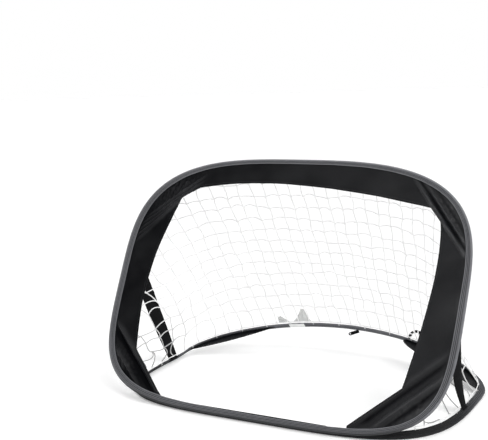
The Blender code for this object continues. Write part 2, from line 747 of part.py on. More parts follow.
def storage_band(parts, guides):
    """An elastic loop on the back rail, which holds the goal closed once it is coiled."""
    half_width = STORAGE_BAND_WIDTH / 2
    half_thick = STORAGE_BAND_THICKNESS / 2
    flat = [
        (-half_width, -half_thick),
        (-half_width, half_thick),
        (half_width, half_thick),
        (half_width, -half_thick),
    ]
    section = section_curve("storage_band_section", flat, guides)
    middle = back_rail_distance(STORAGE_BAND_X)
    path = []
    for turn in np.linspace(pi, 0, 13):
        along = middle + STORAGE_BAND_SPAN / 2 * cos(turn)
        height = STORAGE_BAND_ABOVE_WIRE + STORAGE_BAND_HEIGHT * sin(turn)
        path.append(base_point(along, inward=-STORAGE_BAND_OUTSET, up=height))
    sweep("storage_band", path, section, parts, black_webbing(), closed=False)


def build():
    clear_scene()
    parts = make_collection("pop_up_goal")
    guides = make_collection("sections")
    pivot = add_front_pivot(parts)
    base_ring(parts, guides)
    front_ring(parts, guides, pivot)
    seam_tape(parts, guides)
    border(parts, pivot)
    net(parts)
    net_cords(parts, guides, pivot)
    straps(parts, guides, pivot)
    gussets(parts)
    peg_loop(parts)
    care_label(parts, guides)
    storage_band(parts, guides)


build()
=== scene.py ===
"""Looks of the pop-up goal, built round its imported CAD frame.

The sleeves, border, net, cords, straps and trim are modelled here at full detail.
Metres, +X to the right seen from the front, +Y into the goal, +Z up.
"""

import json
from math import atan2, cos, pi, radians, sin

import bmesh
import bpy
import numpy as np
from mathutils import Matrix, Vector


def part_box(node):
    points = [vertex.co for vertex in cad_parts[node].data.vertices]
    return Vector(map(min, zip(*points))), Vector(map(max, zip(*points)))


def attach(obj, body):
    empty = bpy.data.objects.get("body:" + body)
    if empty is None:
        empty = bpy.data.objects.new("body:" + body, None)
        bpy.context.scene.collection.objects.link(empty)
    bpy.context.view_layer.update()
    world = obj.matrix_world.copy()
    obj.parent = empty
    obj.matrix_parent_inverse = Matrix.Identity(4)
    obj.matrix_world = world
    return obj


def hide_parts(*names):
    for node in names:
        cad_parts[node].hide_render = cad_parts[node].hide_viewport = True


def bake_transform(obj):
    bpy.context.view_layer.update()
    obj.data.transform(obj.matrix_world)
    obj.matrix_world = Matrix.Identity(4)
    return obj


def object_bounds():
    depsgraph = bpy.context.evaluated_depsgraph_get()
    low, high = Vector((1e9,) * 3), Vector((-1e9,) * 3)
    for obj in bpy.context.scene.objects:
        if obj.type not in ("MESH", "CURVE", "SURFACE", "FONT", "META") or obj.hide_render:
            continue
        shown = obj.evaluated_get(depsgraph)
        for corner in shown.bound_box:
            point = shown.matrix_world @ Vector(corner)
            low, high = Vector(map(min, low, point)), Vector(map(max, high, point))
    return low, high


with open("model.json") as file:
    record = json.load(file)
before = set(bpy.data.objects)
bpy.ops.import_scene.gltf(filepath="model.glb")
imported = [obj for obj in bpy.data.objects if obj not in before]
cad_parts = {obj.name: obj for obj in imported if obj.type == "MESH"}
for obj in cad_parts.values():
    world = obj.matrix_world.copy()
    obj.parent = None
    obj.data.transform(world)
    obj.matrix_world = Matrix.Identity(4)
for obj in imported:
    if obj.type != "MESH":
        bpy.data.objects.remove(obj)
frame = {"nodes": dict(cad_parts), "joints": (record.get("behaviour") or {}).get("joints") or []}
CAD_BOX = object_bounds()

# The front ring's hinge and its leaning plane, from the frame.
FOLD = next(joint for joint in frame["joints"] if joint["name"] == "front_ring_fold")
HINGE = np.array(FOLD["pos_m"])
WIRE_LOW, WIRE_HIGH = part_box("front_ring_wire")
WIRE_RADIUS = HINGE[2] - WIRE_LOW.z
LEAN_BACK = atan2(WIRE_HIGH.y - WIRE_RADIUS - HINGE[1], WIRE_HIGH.z - WIRE_RADIUS - HINGE[2])
ACROSS = np.array([1.0, 0.0, 0.0])
UP_RING = np.array([0.0, sin(LEAN_BACK), cos(LEAN_BACK)])
OUT_OF_MOUTH = np.array([0.0, -cos(LEAN_BACK), sin(LEAN_BACK)])
INTO_GOAL = np.array([0.0, 1.0, 0.0])
SKYWARD = np.array([0.0, 0.0, 1.0])

# Binding tape folded round each spring wire: distances inward from the wire, and thicknesses.
BEAD_RADIUS = 0.0046
BEAD_ENDS_AT = 0.0012
LEAF_STARTS_AT = 0.0044
SLEEVE_REACH = 0.0215
SLEEVE_HALF_THICKNESS = 0.0022
SLEEVE_MOUTH = 0.0009
SLEEVE_BORE_RADIUS = 0.0033
SLEEVE_EDGE_ROUNDING = 0.0011
SLEEVE_GROOVES = (0.0052, 0.0106, 0.016)
LEAF_CROWN = 0.0005
GROOVE_DEPTH = 0.0011
GROOVE_HALF_WIDTH = 0.0012
# Width of the painted shade along each groove.
GROOVE_SHADE_WIDTH = 0.0015
SLEEVE_STEP = 0.0032
PUCKER_PITCH = 0.0115
PUCKER_DEPTH = 0.00045
# How far the sleeves turn round their wires, and over what height or distance that fades.
BASE_SLEEVE_TURN = radians(40)
FRONT_RAIL_TURN = radians(8)
TURN_STARTS_AT = 0.004
TURN_FULL_AT = 0.05
FRONT_RAIL_TURN_ENDS = (0.23, 0.33)
# Share of the way round from the middle of the front rail, and share of the full width that shows.
FRONT_SLEEVE_REACH = (
    (0.0, 0.7), (0.09, 0.74), (0.125, 0.66), (0.16, 0.74), (0.2, 0.95), (0.26, 0.86), (0.33, 0.6),
    (0.4, 0.62), (0.45, 0.52), (0.55, 0.5), (0.61, 0.58), (0.66, 0.95), (0.9, 0.9), (1.0, 0.7),
)
BASE_SLEEVE_REACH = ((0.0, 1.0), (1.0, 1.0))
STITCH_PITCH = 0.0045
THREAD_RADIUS = 0.00038
# A stitch dives into the cloth and lies over it, at four points of its pitch, in thread radii.
STITCH_RISE = np.array([-0.9, 0.55, 0.75, 0.55])

# Border of the mouth, in the front ring's plane: across, up from the hinge.
BORDER_INSET = 0.0095
RIGHT_FOOT = (0.314, 0.0285)
RIGHT_LOW_CORNER = (0.463, 0.159)
RIGHT_WAIST = (0.504, 0.47)
RIGHT_HIGH_CORNER = (0.496, 0.664)
TOP_RIGHT_CORNER = (0.46, 0.705)
TOP_MIDDLE = (0.0, 0.764)
TOP_LEFT_CORNER = (-0.366, 0.743)
LEFT_HIGH_CORNER = (-0.427, 0.703)
LEFT_WAIST = (-0.494, 0.44)
LEFT_LOW_CORNER = (-0.478, 0.168)
LEFT_FOOT = (-0.346, 0.0295)
CLOTH_THICKNESS = 0.0006
HEM_THICKNESS = 0.0013
HEM_WIDTH = 0.008
HEM_STITCHES_IN = 0.0068
BORDER_STEP = 0.0028
BORDER_ROWS = 46
# Painted light and shade on the cloth's face: calm cloth, then lighter on ridges and towards the right; and
# one value for the gussets.
CALM_PAINTED_LIGHT = 0.3
PAINTED_LIGHT_RANGE = 0.016
RIGHTWARD_PAINTED_LIGHT = 0.006
GUSSET_PAINTED_LIGHT = 0.25

# Net.
NET_COLUMNS = 44
NET_MESH = 0.052
NET_SIDE_MESH_EXTRA = 0.05
NET_CORD_RADIUS = 0.0019
KNOT_RADIUS = 0.0022
NET_SAG_INWARD = {"back": 0.03, "side": 0.28}
NET_SAG_DOWN = 0.03
NET_ROWS_EVENNESS = 0.86
NET_FULL_SAG_SPAN = 0.4
NET_MIDDLE_HEIGHT = 0.3
# The net is looser towards its two front ends: this much, over this share of its length.
NET_END_SLACK = 4.5
NET_END_REACH = 0.12
EDGE_CORD_RADIUS = 0.0015
LOOP_RADIUS = 0.0009
TIE_RADIUS = 0.0009

# Straps. The pinch is the share of width lost at the foot, the spike a frayed place on the front edge.
SIDES = {"right": 1, "left": -1}
STRAP_WIDTH = 0.056
STRAP_END_ON_RING = 0.07
STRAP_THICKNESS = 0.0016
SEAM_TAPE_THICKNESS = 0.0011
STRAP_TWIST = 0.22
STRAP_BOW_TO_FRONT = 0.004
STRAP_FOOT_INWARD = 0.0165
STRAP_FOOT_ABOVE_SLEEVE = 0.0028
# The strap's end round the base sleeve's edge: inward from the wire, and out of the sleeve's face.
STRAP_FOOT_FOLD = ((0.012, 0.0042), (0.019, 0.0036), (0.0238, 0.0), (0.019, -0.0036), (0.008, -0.0044))
STRAP_PATCH_HALF_REACH = 0.0095
STRAP_SLACK_INWARD = {"right": 0.027, "left": 0.0}
STRAP_PINCH = {"right": 0.32, "left": 0.06}
STRAP_SPIKE = {"right": 0.0, "left": 0.16}
STRAP_CURL = {"right": 0.006, "left": 0.002}

# How far each gusset's cloth runs on past its CAD node, at the back and at the side, in shares of its length.
GUSSET_TRIM = (0.07, 0.15)
GUSSET_FULLNESS = {"right": 0.05, "left": 0.0}

# Label film: left and right ends of each flap's root and of its top, and its height.
TALL_FLAP = ((-0.042, 0.037), (-0.001, 0.009), 0.053)
SHORT_FLAP = ((-0.032, 0.016), (-0.038, -0.026), 0.028)
FILM_HALF_THICKNESS = 0.00018

PEG_HOLE_RADIUS = 0.0033
# Storage band: gathered elastic, and the cord wound along it.
BAND_WIDTH = 0.014
BAND_THICKNESS = 0.0065
BAND_GATHER_DEPTH = 0.001375
BAND_GATHERS = 19
BAND_CORD_TURNS = 5.5
BAND_COIL_HEIGHT = 0.0052
BAND_COIL_WIDTH = 0.0082

# Camera of the photograph: where it stands, how it turns, and its lens.
CAMERA_PLACE = (1.2956, -2.5451, 1.0266)
CAMERA_YAW = -0.4734
CAMERA_PITCH = 0.2456
CAMERA_ROLL = -0.0276
CAMERA_LENS = 64.9
CAMERA_SHIFT = (-0.1148, 0.1598)


# ---------------------------------------------------------------- geometry


def unit(vectors):
    return vectors / np.linalg.norm(vectors, axis=-1, keepdims=True)


def smooth_step(value, start, end):
    share = np.clip((value - start) / (end - start), 0.0, 1.0)
    return share * share * (3 - 2 * share)


def bell(value, width):
    return np.exp(-((value / width) ** 2))


def smoothed(points, closed, steps=12):
    """A finer line through the same points (Catmull-Rom)."""
    points = np.asarray(points, float)
    if closed:
        before, start = np.roll(points, 1, axis=0), points
        end, after = np.roll(points, -1, axis=0), np.roll(points, -2, axis=0)
    else:
        first, last = 2 * points[0] - points[1], 2 * points[-1] - points[-2]
        padded = np.vstack([first, points, last])
        before, start, end, after = padded[:-3], padded[1:-2], padded[2:-1], padded[3:]
    before, start, end, after = (p[:, None, :] for p in (before, start, end, after))
    t = (np.arange(steps) / steps)[None, :, None]
    linear = (end - before) * t
    square = (2 * before - 5 * start + 4 * end - after) * t**2
    cube = (3 * start - before - 3 * end + after) * t**3
    fine = (0.5 * (2 * start + linear + square + cube)).reshape(-1, points.shape[1])
    return fine if closed else np.vstack([fine, points[-1:]])


class Line:
    """A smooth line through points, walked by distance. A closed line wraps round."""

    def __init__(self, points, closed=False, steps=12):
        fine = smoothed(points, closed, steps)
        self.closed = closed
        self.points = np.vstack([fine, fine[:1]]) if closed else fine
        lengths = np.linalg.norm(np.diff(self.points, axis=0), axis=1)
        self.distances = np.concatenate([[0.0], np.cumsum(lengths)])
        self.length = self.distances[-1]

    def at(self, distances):
        distances = np.asarray(distances, float)
        walked = distances % self.length if self.closed else np.clip(distances, 0, self.length)
        return np.stack([np.interp(walked, self.distances, axis) for axis in self.points.T], axis=-1)

    def along(self, distances):
        step = 0.001
        distances = np.asarray(distances, float)
        if not self.closed:
            distances = np.clip(distances, step, self.length - step)
        return unit(self.at(distances + step) - self.at(distances - step))

    def nearest(self, point):
        tries = np.linspace(0, self.length, 6000)
        return tries[np.linalg.norm(self.at(tries) - np.asarray(point), axis=1).argmin()]


def section_centres(node, up):
    """The middle of each cross-section of a swept CAD node, in order from the middle of its front side."""
    corners = np.array([v.co for v in frame["nodes"][node].data.vertices])
    corners = np.unique(corners.round(6), axis=0)
    low, high = corners.min(axis=0), corners.max(axis=0)
    from_middle = corners - (low + high) / 2
    turns = np.arctan2(from_middle @ ACROSS, -(from_middle @ up))
    just_before_start = 0.005
    turns = (turns + just_before_start) % (2 * pi)
    order = np.argsort(turns)
    between_sections = 0.012
    breaks = np.flatnonzero(np.diff(turns[order]) > between_sections) + 1
    return np.array([corners[group].mean(axis=0) for group in np.split(order, breaks)])


class Ring:
    """A ring's wire, walked from the middle of its front rail to the right, and the places beside it.

    Turned gives how far the sleeve has turned round the wire at a point, and reach how much of its
    full width shows at a share of the way round.
    """

    def __init__(self, node, up, facing, turned, reach):
        self.line = Line(section_centres(node, up), closed=True)
        self.facing = facing
        self.turned = turned
        self.shares, self.reaches = np.array(reach).T
        self.length = self.line.length

    def directions(self, distances):
        """Unit directions along the wire, into the ring, and out of the sleeve's upper face."""
        along = self.line.along(distances)
        inward = unit(np.cross(self.facing, along))
        out = np.cross(along, inward)
        turn = self.turned(self.line.at(distances))[..., None]
        return along, inward * np.cos(turn) + out * np.sin(turn), out * np.cos(turn) - inward * np.sin(turn)

    def reach(self, distances):
        """The share of the sleeve's full width left showing, smooth along the ring."""
        nearby = (np.asarray(distances) / self.length)[..., None] + np.linspace(-0.03, 0.03, 9)
        return np.interp(nearby % 1.0, self.shares, self.reaches).mean(axis=-1)

    def beside(self, distances, inward=0.0, out=0.0):
        _, inward_way, out_way = self.directions(distances)
        inward, out = np.asarray(inward, float)[..., None], np.asarray(out, float)[..., None]
        return self.line.at(distances) + inward_way * inward + out_way * out

    def distance_at(self, point):
        return self.line.nearest(point)


def front_sleeve_turned(points):
    """The front sleeve lies back where no border holds it, along the front rail."""
    height = (points - HINGE) @ UP_RING
    low = 1 - smooth_step(height, TURN_STARTS_AT, TURN_FULL_AT)
    return -FRONT_RAIL_TURN * low * (1 - smooth_step(np.abs(points[..., 0]), *FRONT_RAIL_TURN_ENDS))


def base_sleeve_turned(points):
    """The base sleeve stands up along the sides and the back."""
    return BASE_SLEEVE_TURN * smooth_step(points[..., 1] - HINGE[1], TURN_STARTS_AT, TURN_FULL_AT)


def plane_point(across, up, forward=0.0):
    """World point of a place in the front ring's plane. Works on arrays."""
    across, up, forward = (np.asarray(v, float)[..., None] for v in (across, up, forward))
    return HINGE + across * ACROSS + up * UP_RING + forward * OUT_OF_MOUTH


def ripples(across, up, wavelength, seed, waves=14):
    """Smooth random waves of about this length, between -1 and 1."""
    random = np.random.default_rng(seed)
    total = np.zeros(np.shape(across))
    for _ in range(waves):
        turn, phase = random.uniform(0, 2 * pi, 2)
        pace = 2 * pi / (wavelength * random.uniform(0.7, 1.5))
        total = total + np.sin(pace * (across * cos(turn) + up * sin(turn)) + phase)
    return total / waves * 1.6


# ---------------------------------------------------------------- meshes


def new_object(name, mesh, material):
    made = bpy.data.objects.new(name, mesh)
    bpy.context.scene.collection.objects.link(made)
    mesh.materials.append(material)
    return made


def mesh_from(name, corners, faces, corner_uvs=None):
    mesh = bpy.data.meshes.new(name)
    mesh.from_pydata(np.asarray(corners).tolist(), [], faces)
    if corner_uvs is not None:
        mesh.uv_layers.new(name="metres").data.foreach_set("uv", np.asarray(corner_uvs, np.float32).ravel())
    mesh.shade_smooth()
    mesh.validate()
    return mesh


def grid(points, uvs, wrap_rows=False, wrap_columns=False, first_index=0):
    """Quads over a grid of points. UVs have one more row or column where the grid wraps round."""
    rows, columns = points.shape[:2]
    row, column = np.meshgrid(
        np.arange(rows if wrap_rows else rows - 1),
        np.arange(columns if wrap_columns else columns - 1),
        indexing="ij",
    )
    corner_rows = np.stack([row, row, row + 1, row + 1], axis=-1).reshape(-1, 4)
    corner_columns = np.stack([column, column + 1, column + 1, column], axis=-1).reshape(-1, 4)
    faces = (corner_rows % rows) * columns + corner_columns % columns + first_index
    return points.reshape(-1, 3), faces.tolist(), uvs[corner_rows, corner_columns].reshape(-1, 2)


class Builder:
    """Collects several closed grids into one mesh, and gathers a value per corner that the mesh does not get.
    """

    def __init__(self):
        self.corners, self.faces, self.uvs, self.shares = [], [], [], []
        self.count = 0

    def add(self, points, uvs, wrap_rows=False, wrap_columns=False, share=0.0):
        corners, faces, corner_uvs = grid(points, uvs, wrap_rows, wrap_columns, self.count)
        self.corners.append(corners)
        self.faces += faces
        self.uvs.append(corner_uvs)
        self.shares.append(np.broadcast_to(share, points.shape[:2]).reshape(-1))
        self.count += len(corners)

    def cap(self, indices):
        """Closes an end with one face; the indices count back from the grid added last."""
        self.faces.append(list(indices))
        self.uvs.append(np.zeros((len(indices), 2)))

    def tube(self, path, radius, sides=6, closed=False, share=0.0):
        """A round cord along a path, closed at its ends."""
        path = np.asarray(path, float)
        count = len(path)
        if closed:
            along = unit(np.roll(path, -1, axis=0) - np.roll(path, 1, axis=0))
        else:
            along = unit(np.gradient(path, axis=0))
        helper = np.array([0.36, 0.48, 0.8])
        side = np.zeros_like(path)
        side[0] = unit(np.cross(along[0], helper))
        for k in range(1, count):
            carried = side[k - 1] - along[k] * (side[k - 1] @ along[k])
            side[k] = carried / np.linalg.norm(carried)
        other = np.cross(along, side)
        turns = 2 * pi * np.arange(sides) / sides
        radii = np.broadcast_to(radius, count)[:, None, None]
        spokes = np.cos(turns)[None, :, None] * side[:, None] + np.sin(turns)[None, :, None] * other[:, None]
        points = path[:, None] + radii * spokes
        steps = np.linalg.norm(np.diff(path, axis=0, append=path[:1] if closed else path[-1:]), axis=1)
        walked = np.concatenate([[0.0], np.cumsum(steps)])[: count + closed]
        u, v = np.meshgrid(walked, np.arange(sides + 1) / sides, indexing="ij")
        first = self.count
        shares = np.broadcast_to(share, count)[:, None]
        self.add(points, np.stack([u, v], axis=-1), closed, True, shares)
        if not closed:
            self.cap(range(first + sides - 1, first - 1, -1))
            self.cap(range(self.count - sides, self.count))

    def ball(self, centre, radii, axes, share=0.0, rings=5, sides=8):
        """A small rounded knot, stretched along three axes."""
        polar = np.linspace(0, pi, rings + 1)[1:-1]
        turns = 2 * pi * np.arange(sides) / sides
        shape = np.stack(
            [
                np.sin(polar)[:, None] * np.cos(turns),
                np.sin(polar)[:, None] * np.sin(turns),
                np.repeat(np.cos(polar)[:, None], sides, axis=1),
            ],
            axis=-1,
        )
        first = self.count
        points = centre + (shape * radii) @ axes
        uvs = np.zeros((len(polar), sides + 1, 2))
        self.add(points, uvs, False, True, share)
        self.cap(range(first, first + sides))
        self.cap(range(self.count - 1, self.count - sides - 1, -1))

    def finish(self, name, material):
        mesh = mesh_from(name, np.vstack(self.corners), self.faces, np.vstack(self.uvs))
        made = new_object(name, mesh, material)
        face_outward(mesh)
        return made


def set_attribute(piece, name, values):
    """A value per corner that the piece's material reads."""
    made = piece.data.attributes.new(name, "FLOAT", "POINT")
    made.data.foreach_set("value", np.asarray(values, np.float32).ravel())


def face_outward(mesh):
    """Turns the faces of each closed body outward."""
    work = bmesh.new()
    work.from_mesh(mesh)
    bmesh.ops.recalc_face_normals(work, faces=work.faces)
    work.to_mesh(mesh)
    work.free()


def solid_sheet(builder, front, back, uvs, share=0.0):
    """A closed cloth between two grids of points, with its four edges closed."""
    rows, columns = front.shape[:2]
    loop = np.concatenate([front, back[:, ::-1]], axis=1)
    across = np.concatenate([uvs, uvs[:, ::-1], uvs[:, :1]], axis=1)
    shares = np.broadcast_to(share, (rows, columns))
    first = builder.count
    builder.add(loop, across, False, True, np.concatenate([shares, shares[:, ::-1]], axis=1))
    width = 2 * columns
    for row in (0, rows - 1):
        start = first + row * width
        for column in range(columns - 1):
            here, opposite = start + column, start + width - 1 - column
            quad = [here, here + 1, opposite - 1, opposite]
            builder.cap(quad if row else quad[::-1])


def grid_normals(points):
    """Unit normals of a grid of points."""
    down, across = np.gradient(points, axis=0), np.gradient(points, axis=1)
    return unit(np.cross(down, across))


def bend_with_fold(piece):
    """Bakes the piece's placement into its mesh."""
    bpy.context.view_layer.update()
    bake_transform(piece)


# ---------------------------------------------------------------- materials


class Look:
    """A procedural material under construction: its nodes, and the surface's colour and bump."""

    def __init__(self, name, color, roughness, metallic=0.0, specular=0.5):
        self.material = bpy.data.materials.new(name)
        self.material.use_nodes = True
        self.tree = self.material.node_tree
        self.shader = self.tree.nodes["Principled BSDF"]
        self.shader.inputs["Base Color"].default_value = (*color, 1.0)
        self.shader.inputs["Roughness"].default_value = roughness
        self.shader.inputs["Metallic"].default_value = metallic
        self.shader.inputs["Specular IOR Level"].default_value = specular
        self.color = None
        self.last_bump = None

    def node(self, kind, **settings):
        made = self.tree.nodes.new(kind)
        for key, value in settings.items():
            if key in made.inputs:
                made.inputs[key].default_value = value
            else:
                setattr(made, key, value)
        return made

    def link(self, source, target):
        self.tree.links.new(source, target)

    def object_coordinates(self):
        return self.node("ShaderNodeTexCoord").outputs["Object"]

    def uv_coordinates(self):
        return self.node("ShaderNodeUVMap", uv_map="metres").outputs["UV"]

    def attribute(self, name):
        """A value that the piece carries at each corner."""
        return self.node("ShaderNodeAttribute", attribute_name=name).outputs["Fac"]

    def noise(self, coordinates, scale, detail=3.0, roughness=0.55):
        made = self.node("ShaderNodeTexNoise")
        made.inputs["Scale"].default_value = scale
        made.inputs["Detail"].default_value = detail
        made.inputs["Roughness"].default_value = roughness
        self.link(coordinates, made.inputs["Vector"])
        return made.outputs["Fac"]

    def ribs(self, coordinates, pitch, direction="X", distortion=0.0):
        """Parallel ribs this far apart along one coordinate."""
        made = self.node("ShaderNodeTexWave", bands_direction=direction)
        made.inputs["Scale"].default_value = 2 * pi / (20 * pitch)
        made.inputs["Distortion"].default_value = distortion
        self.link(coordinates, made.inputs["Vector"])
        return made.outputs["Fac"]

    def ramp(self, value, stops):
        made = self.node("ShaderNodeValToRGB")
        self.link(value, made.inputs["Fac"])
        elements = made.color_ramp.elements
        while len(elements) < len(stops):
            elements.new(0.5)
        for element, (position, color) in zip(elements, stops):
            element.position = position
            element.color = (*color, 1.0)
        return made.outputs["Color"]

    def combine(self, a, b, operation="MULTIPLY"):
        made = self.node("ShaderNodeMath", operation=operation)
        self.link(a, made.inputs[0])
        if isinstance(b, (int, float)):
            made.inputs[1].default_value = b
        else:
            self.link(b, made.inputs[1])
        return made.outputs[0]

    def mix_colors(self, value, first, second):
        made = self.node("ShaderNodeMix", data_type="RGBA")
        self.link(value, made.inputs[0])
        for socket, color in ((made.inputs[6], first), (made.inputs[7], second)):
            if isinstance(color, tuple):
                socket.default_value = (*color, 1.0)
            else:
                self.link(color, socket)
        return made.outputs[2]

    def set_color(self, socket):
        self.link(socket, self.shader.inputs["Base Color"])

    def set_scaled(self, socket, value, low, high, start=0.0, end=1.0):
        """The socket runs from low to high as the value runs from start to end."""
        made = self.node("ShaderNodeMapRange")
        made.inputs["From Min"].default_value = start
        made.inputs["From Max"].default_value = end
        made.inputs["To Min"].default_value = low
        made.inputs["To Max"].default_value = high
        self.link(value, made.inputs["Value"])
        self.link(made.outputs["Result"], self.shader.inputs[socket])

    def set_roughness(self, value, low, high):
        self.set_scaled("Roughness", value, low, high)

    def bump(self, height, depth, strength=1.0):
        """Adds a bump this many metres deep over the bumps before it."""
        made = self.node("ShaderNodeBump")
        made.inputs["Strength"].default_value = strength
        made.inputs["Distance"].default_value = depth
        self.link(height, made.inputs["Height"])
        if self.last_bump is not None:
            self.link(self.last_bump, made.inputs["Normal"])
        self.last_bump = made.outputs["Normal"]
        self.link(self.last_bump, self.shader.inputs["Normal"])

    def glow(self, strength):
        self.shader.inputs["Emission Color"].default_value = (1.0, 1.0, 1.0, 1.0)
        self.shader.inputs["Emission Strength"].default_value = strength

    def sheen(self, weight, roughness, tint):
        self.shader.inputs["Sheen Weight"].default_value = weight
        self.shader.inputs["Sheen Roughness"].default_value = roughness
        self.shader.inputs["Sheen Tint"].default_value = (*tint, 1.0)


def shade(color, factor):
    return tuple(min(1.0, channel * factor) for channel in color)


def binding_tape(name, color):
    """Grosgrain tape: cross ribs, woven lengthwise stripes, and painted shade where the piece says so."""
    look = Look(name, color, 0.75, specular=0.2)
    uv = look.uv_coordinates()
    spread = look.noise(look.object_coordinates(), 9.0, 4.0)
    fine = look.noise(look.object_coordinates(), 900.0, 2.0)
    ribs = look.ribs(uv, 0.0011, "X")
    body = look.mix_colors(spread, shade(color, 0.78), shade(color, 1.25))
    specks = look.ramp(fine, [(0.35, shade(color, 0.55)), (0.7, shade(color, 1.5))])
    body = look.mix_colors(look.combine(ribs, 0.45), body, specks)
    # Painted shade: the tape darkens where the piece says so.
    painted_shade = look.attribute("painted_shade")
    look.set_color(look.mix_colors(painted_shade, body, shade(color, 0.05)))
    look.set_roughness(fine, 0.62, 0.9)
    look.bump(ribs, 0.00022)
    look.bump(fine, 0.00012)
    look.sheen(0.05, 0.4, (0.8, 0.82, 0.9))
    return look.material


def polyester_cloth(name, color):
    """Thin plain-weave polyester with a satin sheen, faint creasing, and painted light and shade where the
    piece says so.
    """
    look = Look(name, color, 0.5, specular=0.35)
    coordinates = look.object_coordinates()
    uv = look.uv_coordinates()
    warp = look.ribs(uv, 0.0007, "X", 0.2)
    weft = look.ribs(uv, 0.0007, "Y", 0.2)
    weave = look.combine(warp, weft, "MAXIMUM")
    broad = look.noise(coordinates, 7.0, 3.0)
    crinkle = look.noise(coordinates, 60.0, 5.0, 0.6)
    fine = look.noise(coordinates, 700.0, 2.0)
    tone = look.mix_colors(broad, shade(color, 0.8), shade(color, 1.25))
    threads = look.mix_colors(weave, shade(color, 0.6), tone)
    body = look.mix_colors(look.combine(fine, 0.3), threads, shade(color, 1.8))
    # Painted light and shade: darker in creases, lighter on ridges and towards the right, and a painted
    # highlight through the specular level.
    painted_light = look.attribute("painted_light")
    look.set_color(look.mix_colors(painted_light, shade(color, 0.3), body))
    look.set_scaled("Specular IOR Level", painted_light, 0.02, 0.6)
    look.set_roughness(crinkle, 0.38, 0.55)
    look.bump(crinkle, 0.0011)
    look.bump(weave, 0.00013)
    look.sheen(0.04, 0.35, (0.75, 0.8, 0.95))
    return look.material


def webbing(name, color):
    """Narrow woven webbing: herringbone ribs along a thick, matt strap."""
    look = Look(name, color, 0.85, specular=0.05)
    uv = look.uv_coordinates()
    slant = look.node("ShaderNodeMapping")
    slant.inputs["Rotation"].default_value = (0, 0, radians(32))
    look.link(uv, slant.inputs["Vector"])
    twill = look.ribs(slant.outputs["Vector"], 0.0016, "X")
    rows = look.ribs(uv, 0.0042, "Y")
    fine = look.noise(look.object_coordinates(), 650.0, 3.0)
    broad = look.noise(look.object_coordinates(), 14.0, 3.0)
    tone = look.mix_colors(broad, shade(color, 0.7), shade(color, 1.35))
    look.set_color(look.mix_colors(look.combine(twill, fine), tone, shade(color, 2.6)))
    look.set_roughness(fine, 0.7, 0.95)
    look.bump(rows, 0.00025)
    look.bump(twill, 0.0002)
    look.bump(fine, 0.0001)
    return look.material


def braided_cord(name, color, painted_glow=0.0):
    """Soft twisted cord: slanting strands, painted shade where the piece says so, and a painted glow if it is
    given one.
    """
    look = Look(name, color, 0.8, specular=0.2)
    uv = look.uv_coordinates()
    scaled = look.node("ShaderNodeMapping")
    strands_per_metre = 420.0
    scaled.inputs["Scale"].default_value = (strands_per_metre, 2.0, 1.0)
    look.link(uv, scaled.inputs["Vector"])
    split = look.node("ShaderNodeSeparateXYZ")
    look.link(scaled.outputs["Vector"], split.inputs[0])
    twist = look.combine(split.outputs["X"], split.outputs["Y"], "ADD")
    strands = look.combine(look.combine(twist, 2 * pi), 0.0, "SINE")
    broad = look.noise(look.object_coordinates(), 25.0, 4.0)
    strand_color = look.mix_colors(strands, shade(color, 0.86), shade(color, 1.04))
    clean = look.mix_colors(broad, strand_color, shade(color, 0.93))
    # Painted shade: the cord greys where the piece says so.
    painted_shade = look.attribute("painted_shade")
    look.set_color(look.mix_colors(painted_shade, clean, shade(color, 0.15)))
    # A painted glow lightens the cord, fading out where the painted shade is.
    if painted_glow:
        look.glow(1.0)
        look.set_scaled("Emission Strength", painted_shade, painted_glow, 0.0)
    look.bump(strands, 0.0002)
    look.sheen(0.15, 0.5, (1.0, 1.0, 1.0))
    return look.material


def label_film(name, color, opacity):
    """Milky clear film, crumpled."""
    look = Look(name, color, 0.3, specular=0.5)
    coordinates = look.object_coordinates()
    crumple = look.noise(coordinates, 95.0, 5.0, 0.65)
    broad = look.noise(coordinates, 30.0, 2.0)
    look.set_color(look.mix_colors(broad, shade(color, 0.86), shade(color, 1.1)))
    look.set_roughness(crumple, 0.22, 0.5)
    look.bump(crumple, 0.0018)
    look.shader.inputs["Alpha"].default_value = opacity
    look.shader.inputs["Coat Weight"].default_value = 0.3
    return look.material


def metal(name, color, roughness, grain):
    """Bare or painted metal with fine drawn grain."""
    look = Look(name, color, roughness, metallic=1.0)
    coordinates = look.object_coordinates()
    lines = look.noise(coordinates, grain, 4.0)
    broad = look.noise(coordinates, 40.0, 2.0)
    look.set_color(look.mix_colors(broad, shade(color, 0.8), shade(color, 1.15)))
    look.set_roughness(lines, roughness * 0.7, roughness * 1.4)
    look.bump(lines, 0.00005)
    return look.material


def pale_floor():
    """A white sweep that glows a little: enough to wash out the shadow in front, and less behind the net."""
    look = Look("pale_floor", (0.93, 0.93, 0.93), 0.7, specular=0.1)
    broad = look.noise(look.object_coordinates(), 1.5, 3.0)
    look.set_color(look.mix_colors(broad, (0.92, 0.92, 0.92), (0.95, 0.95, 0.95)))
    split = look.node("ShaderNodeSeparateXYZ")
    look.link(look.object_coordinates(), split.inputs[0])
    look.glow(1.0)
    glow_in_front, glow_behind = 0.22, 0.06
    fade_start, fade_end = 0.25, 0.8
    depth = split.outputs["Y"]
    look.set_scaled("Emission Strength", depth, glow_in_front, glow_behind, fade_start, fade_end)
    return look.material


GREY_TAPE = binding_tape("grey_tape", (0.2, 0.203, 0.217))
DARK_TAPE = binding_tape("dark_tape", (0.17, 0.173, 0.187))
BORDER_CLOTH = polyester_cloth("border_polyester", (0.0085, 0.009, 0.0112))
BLACK_WEBBING = webbing("strap_webbing", (0.0055, 0.0055, 0.006))
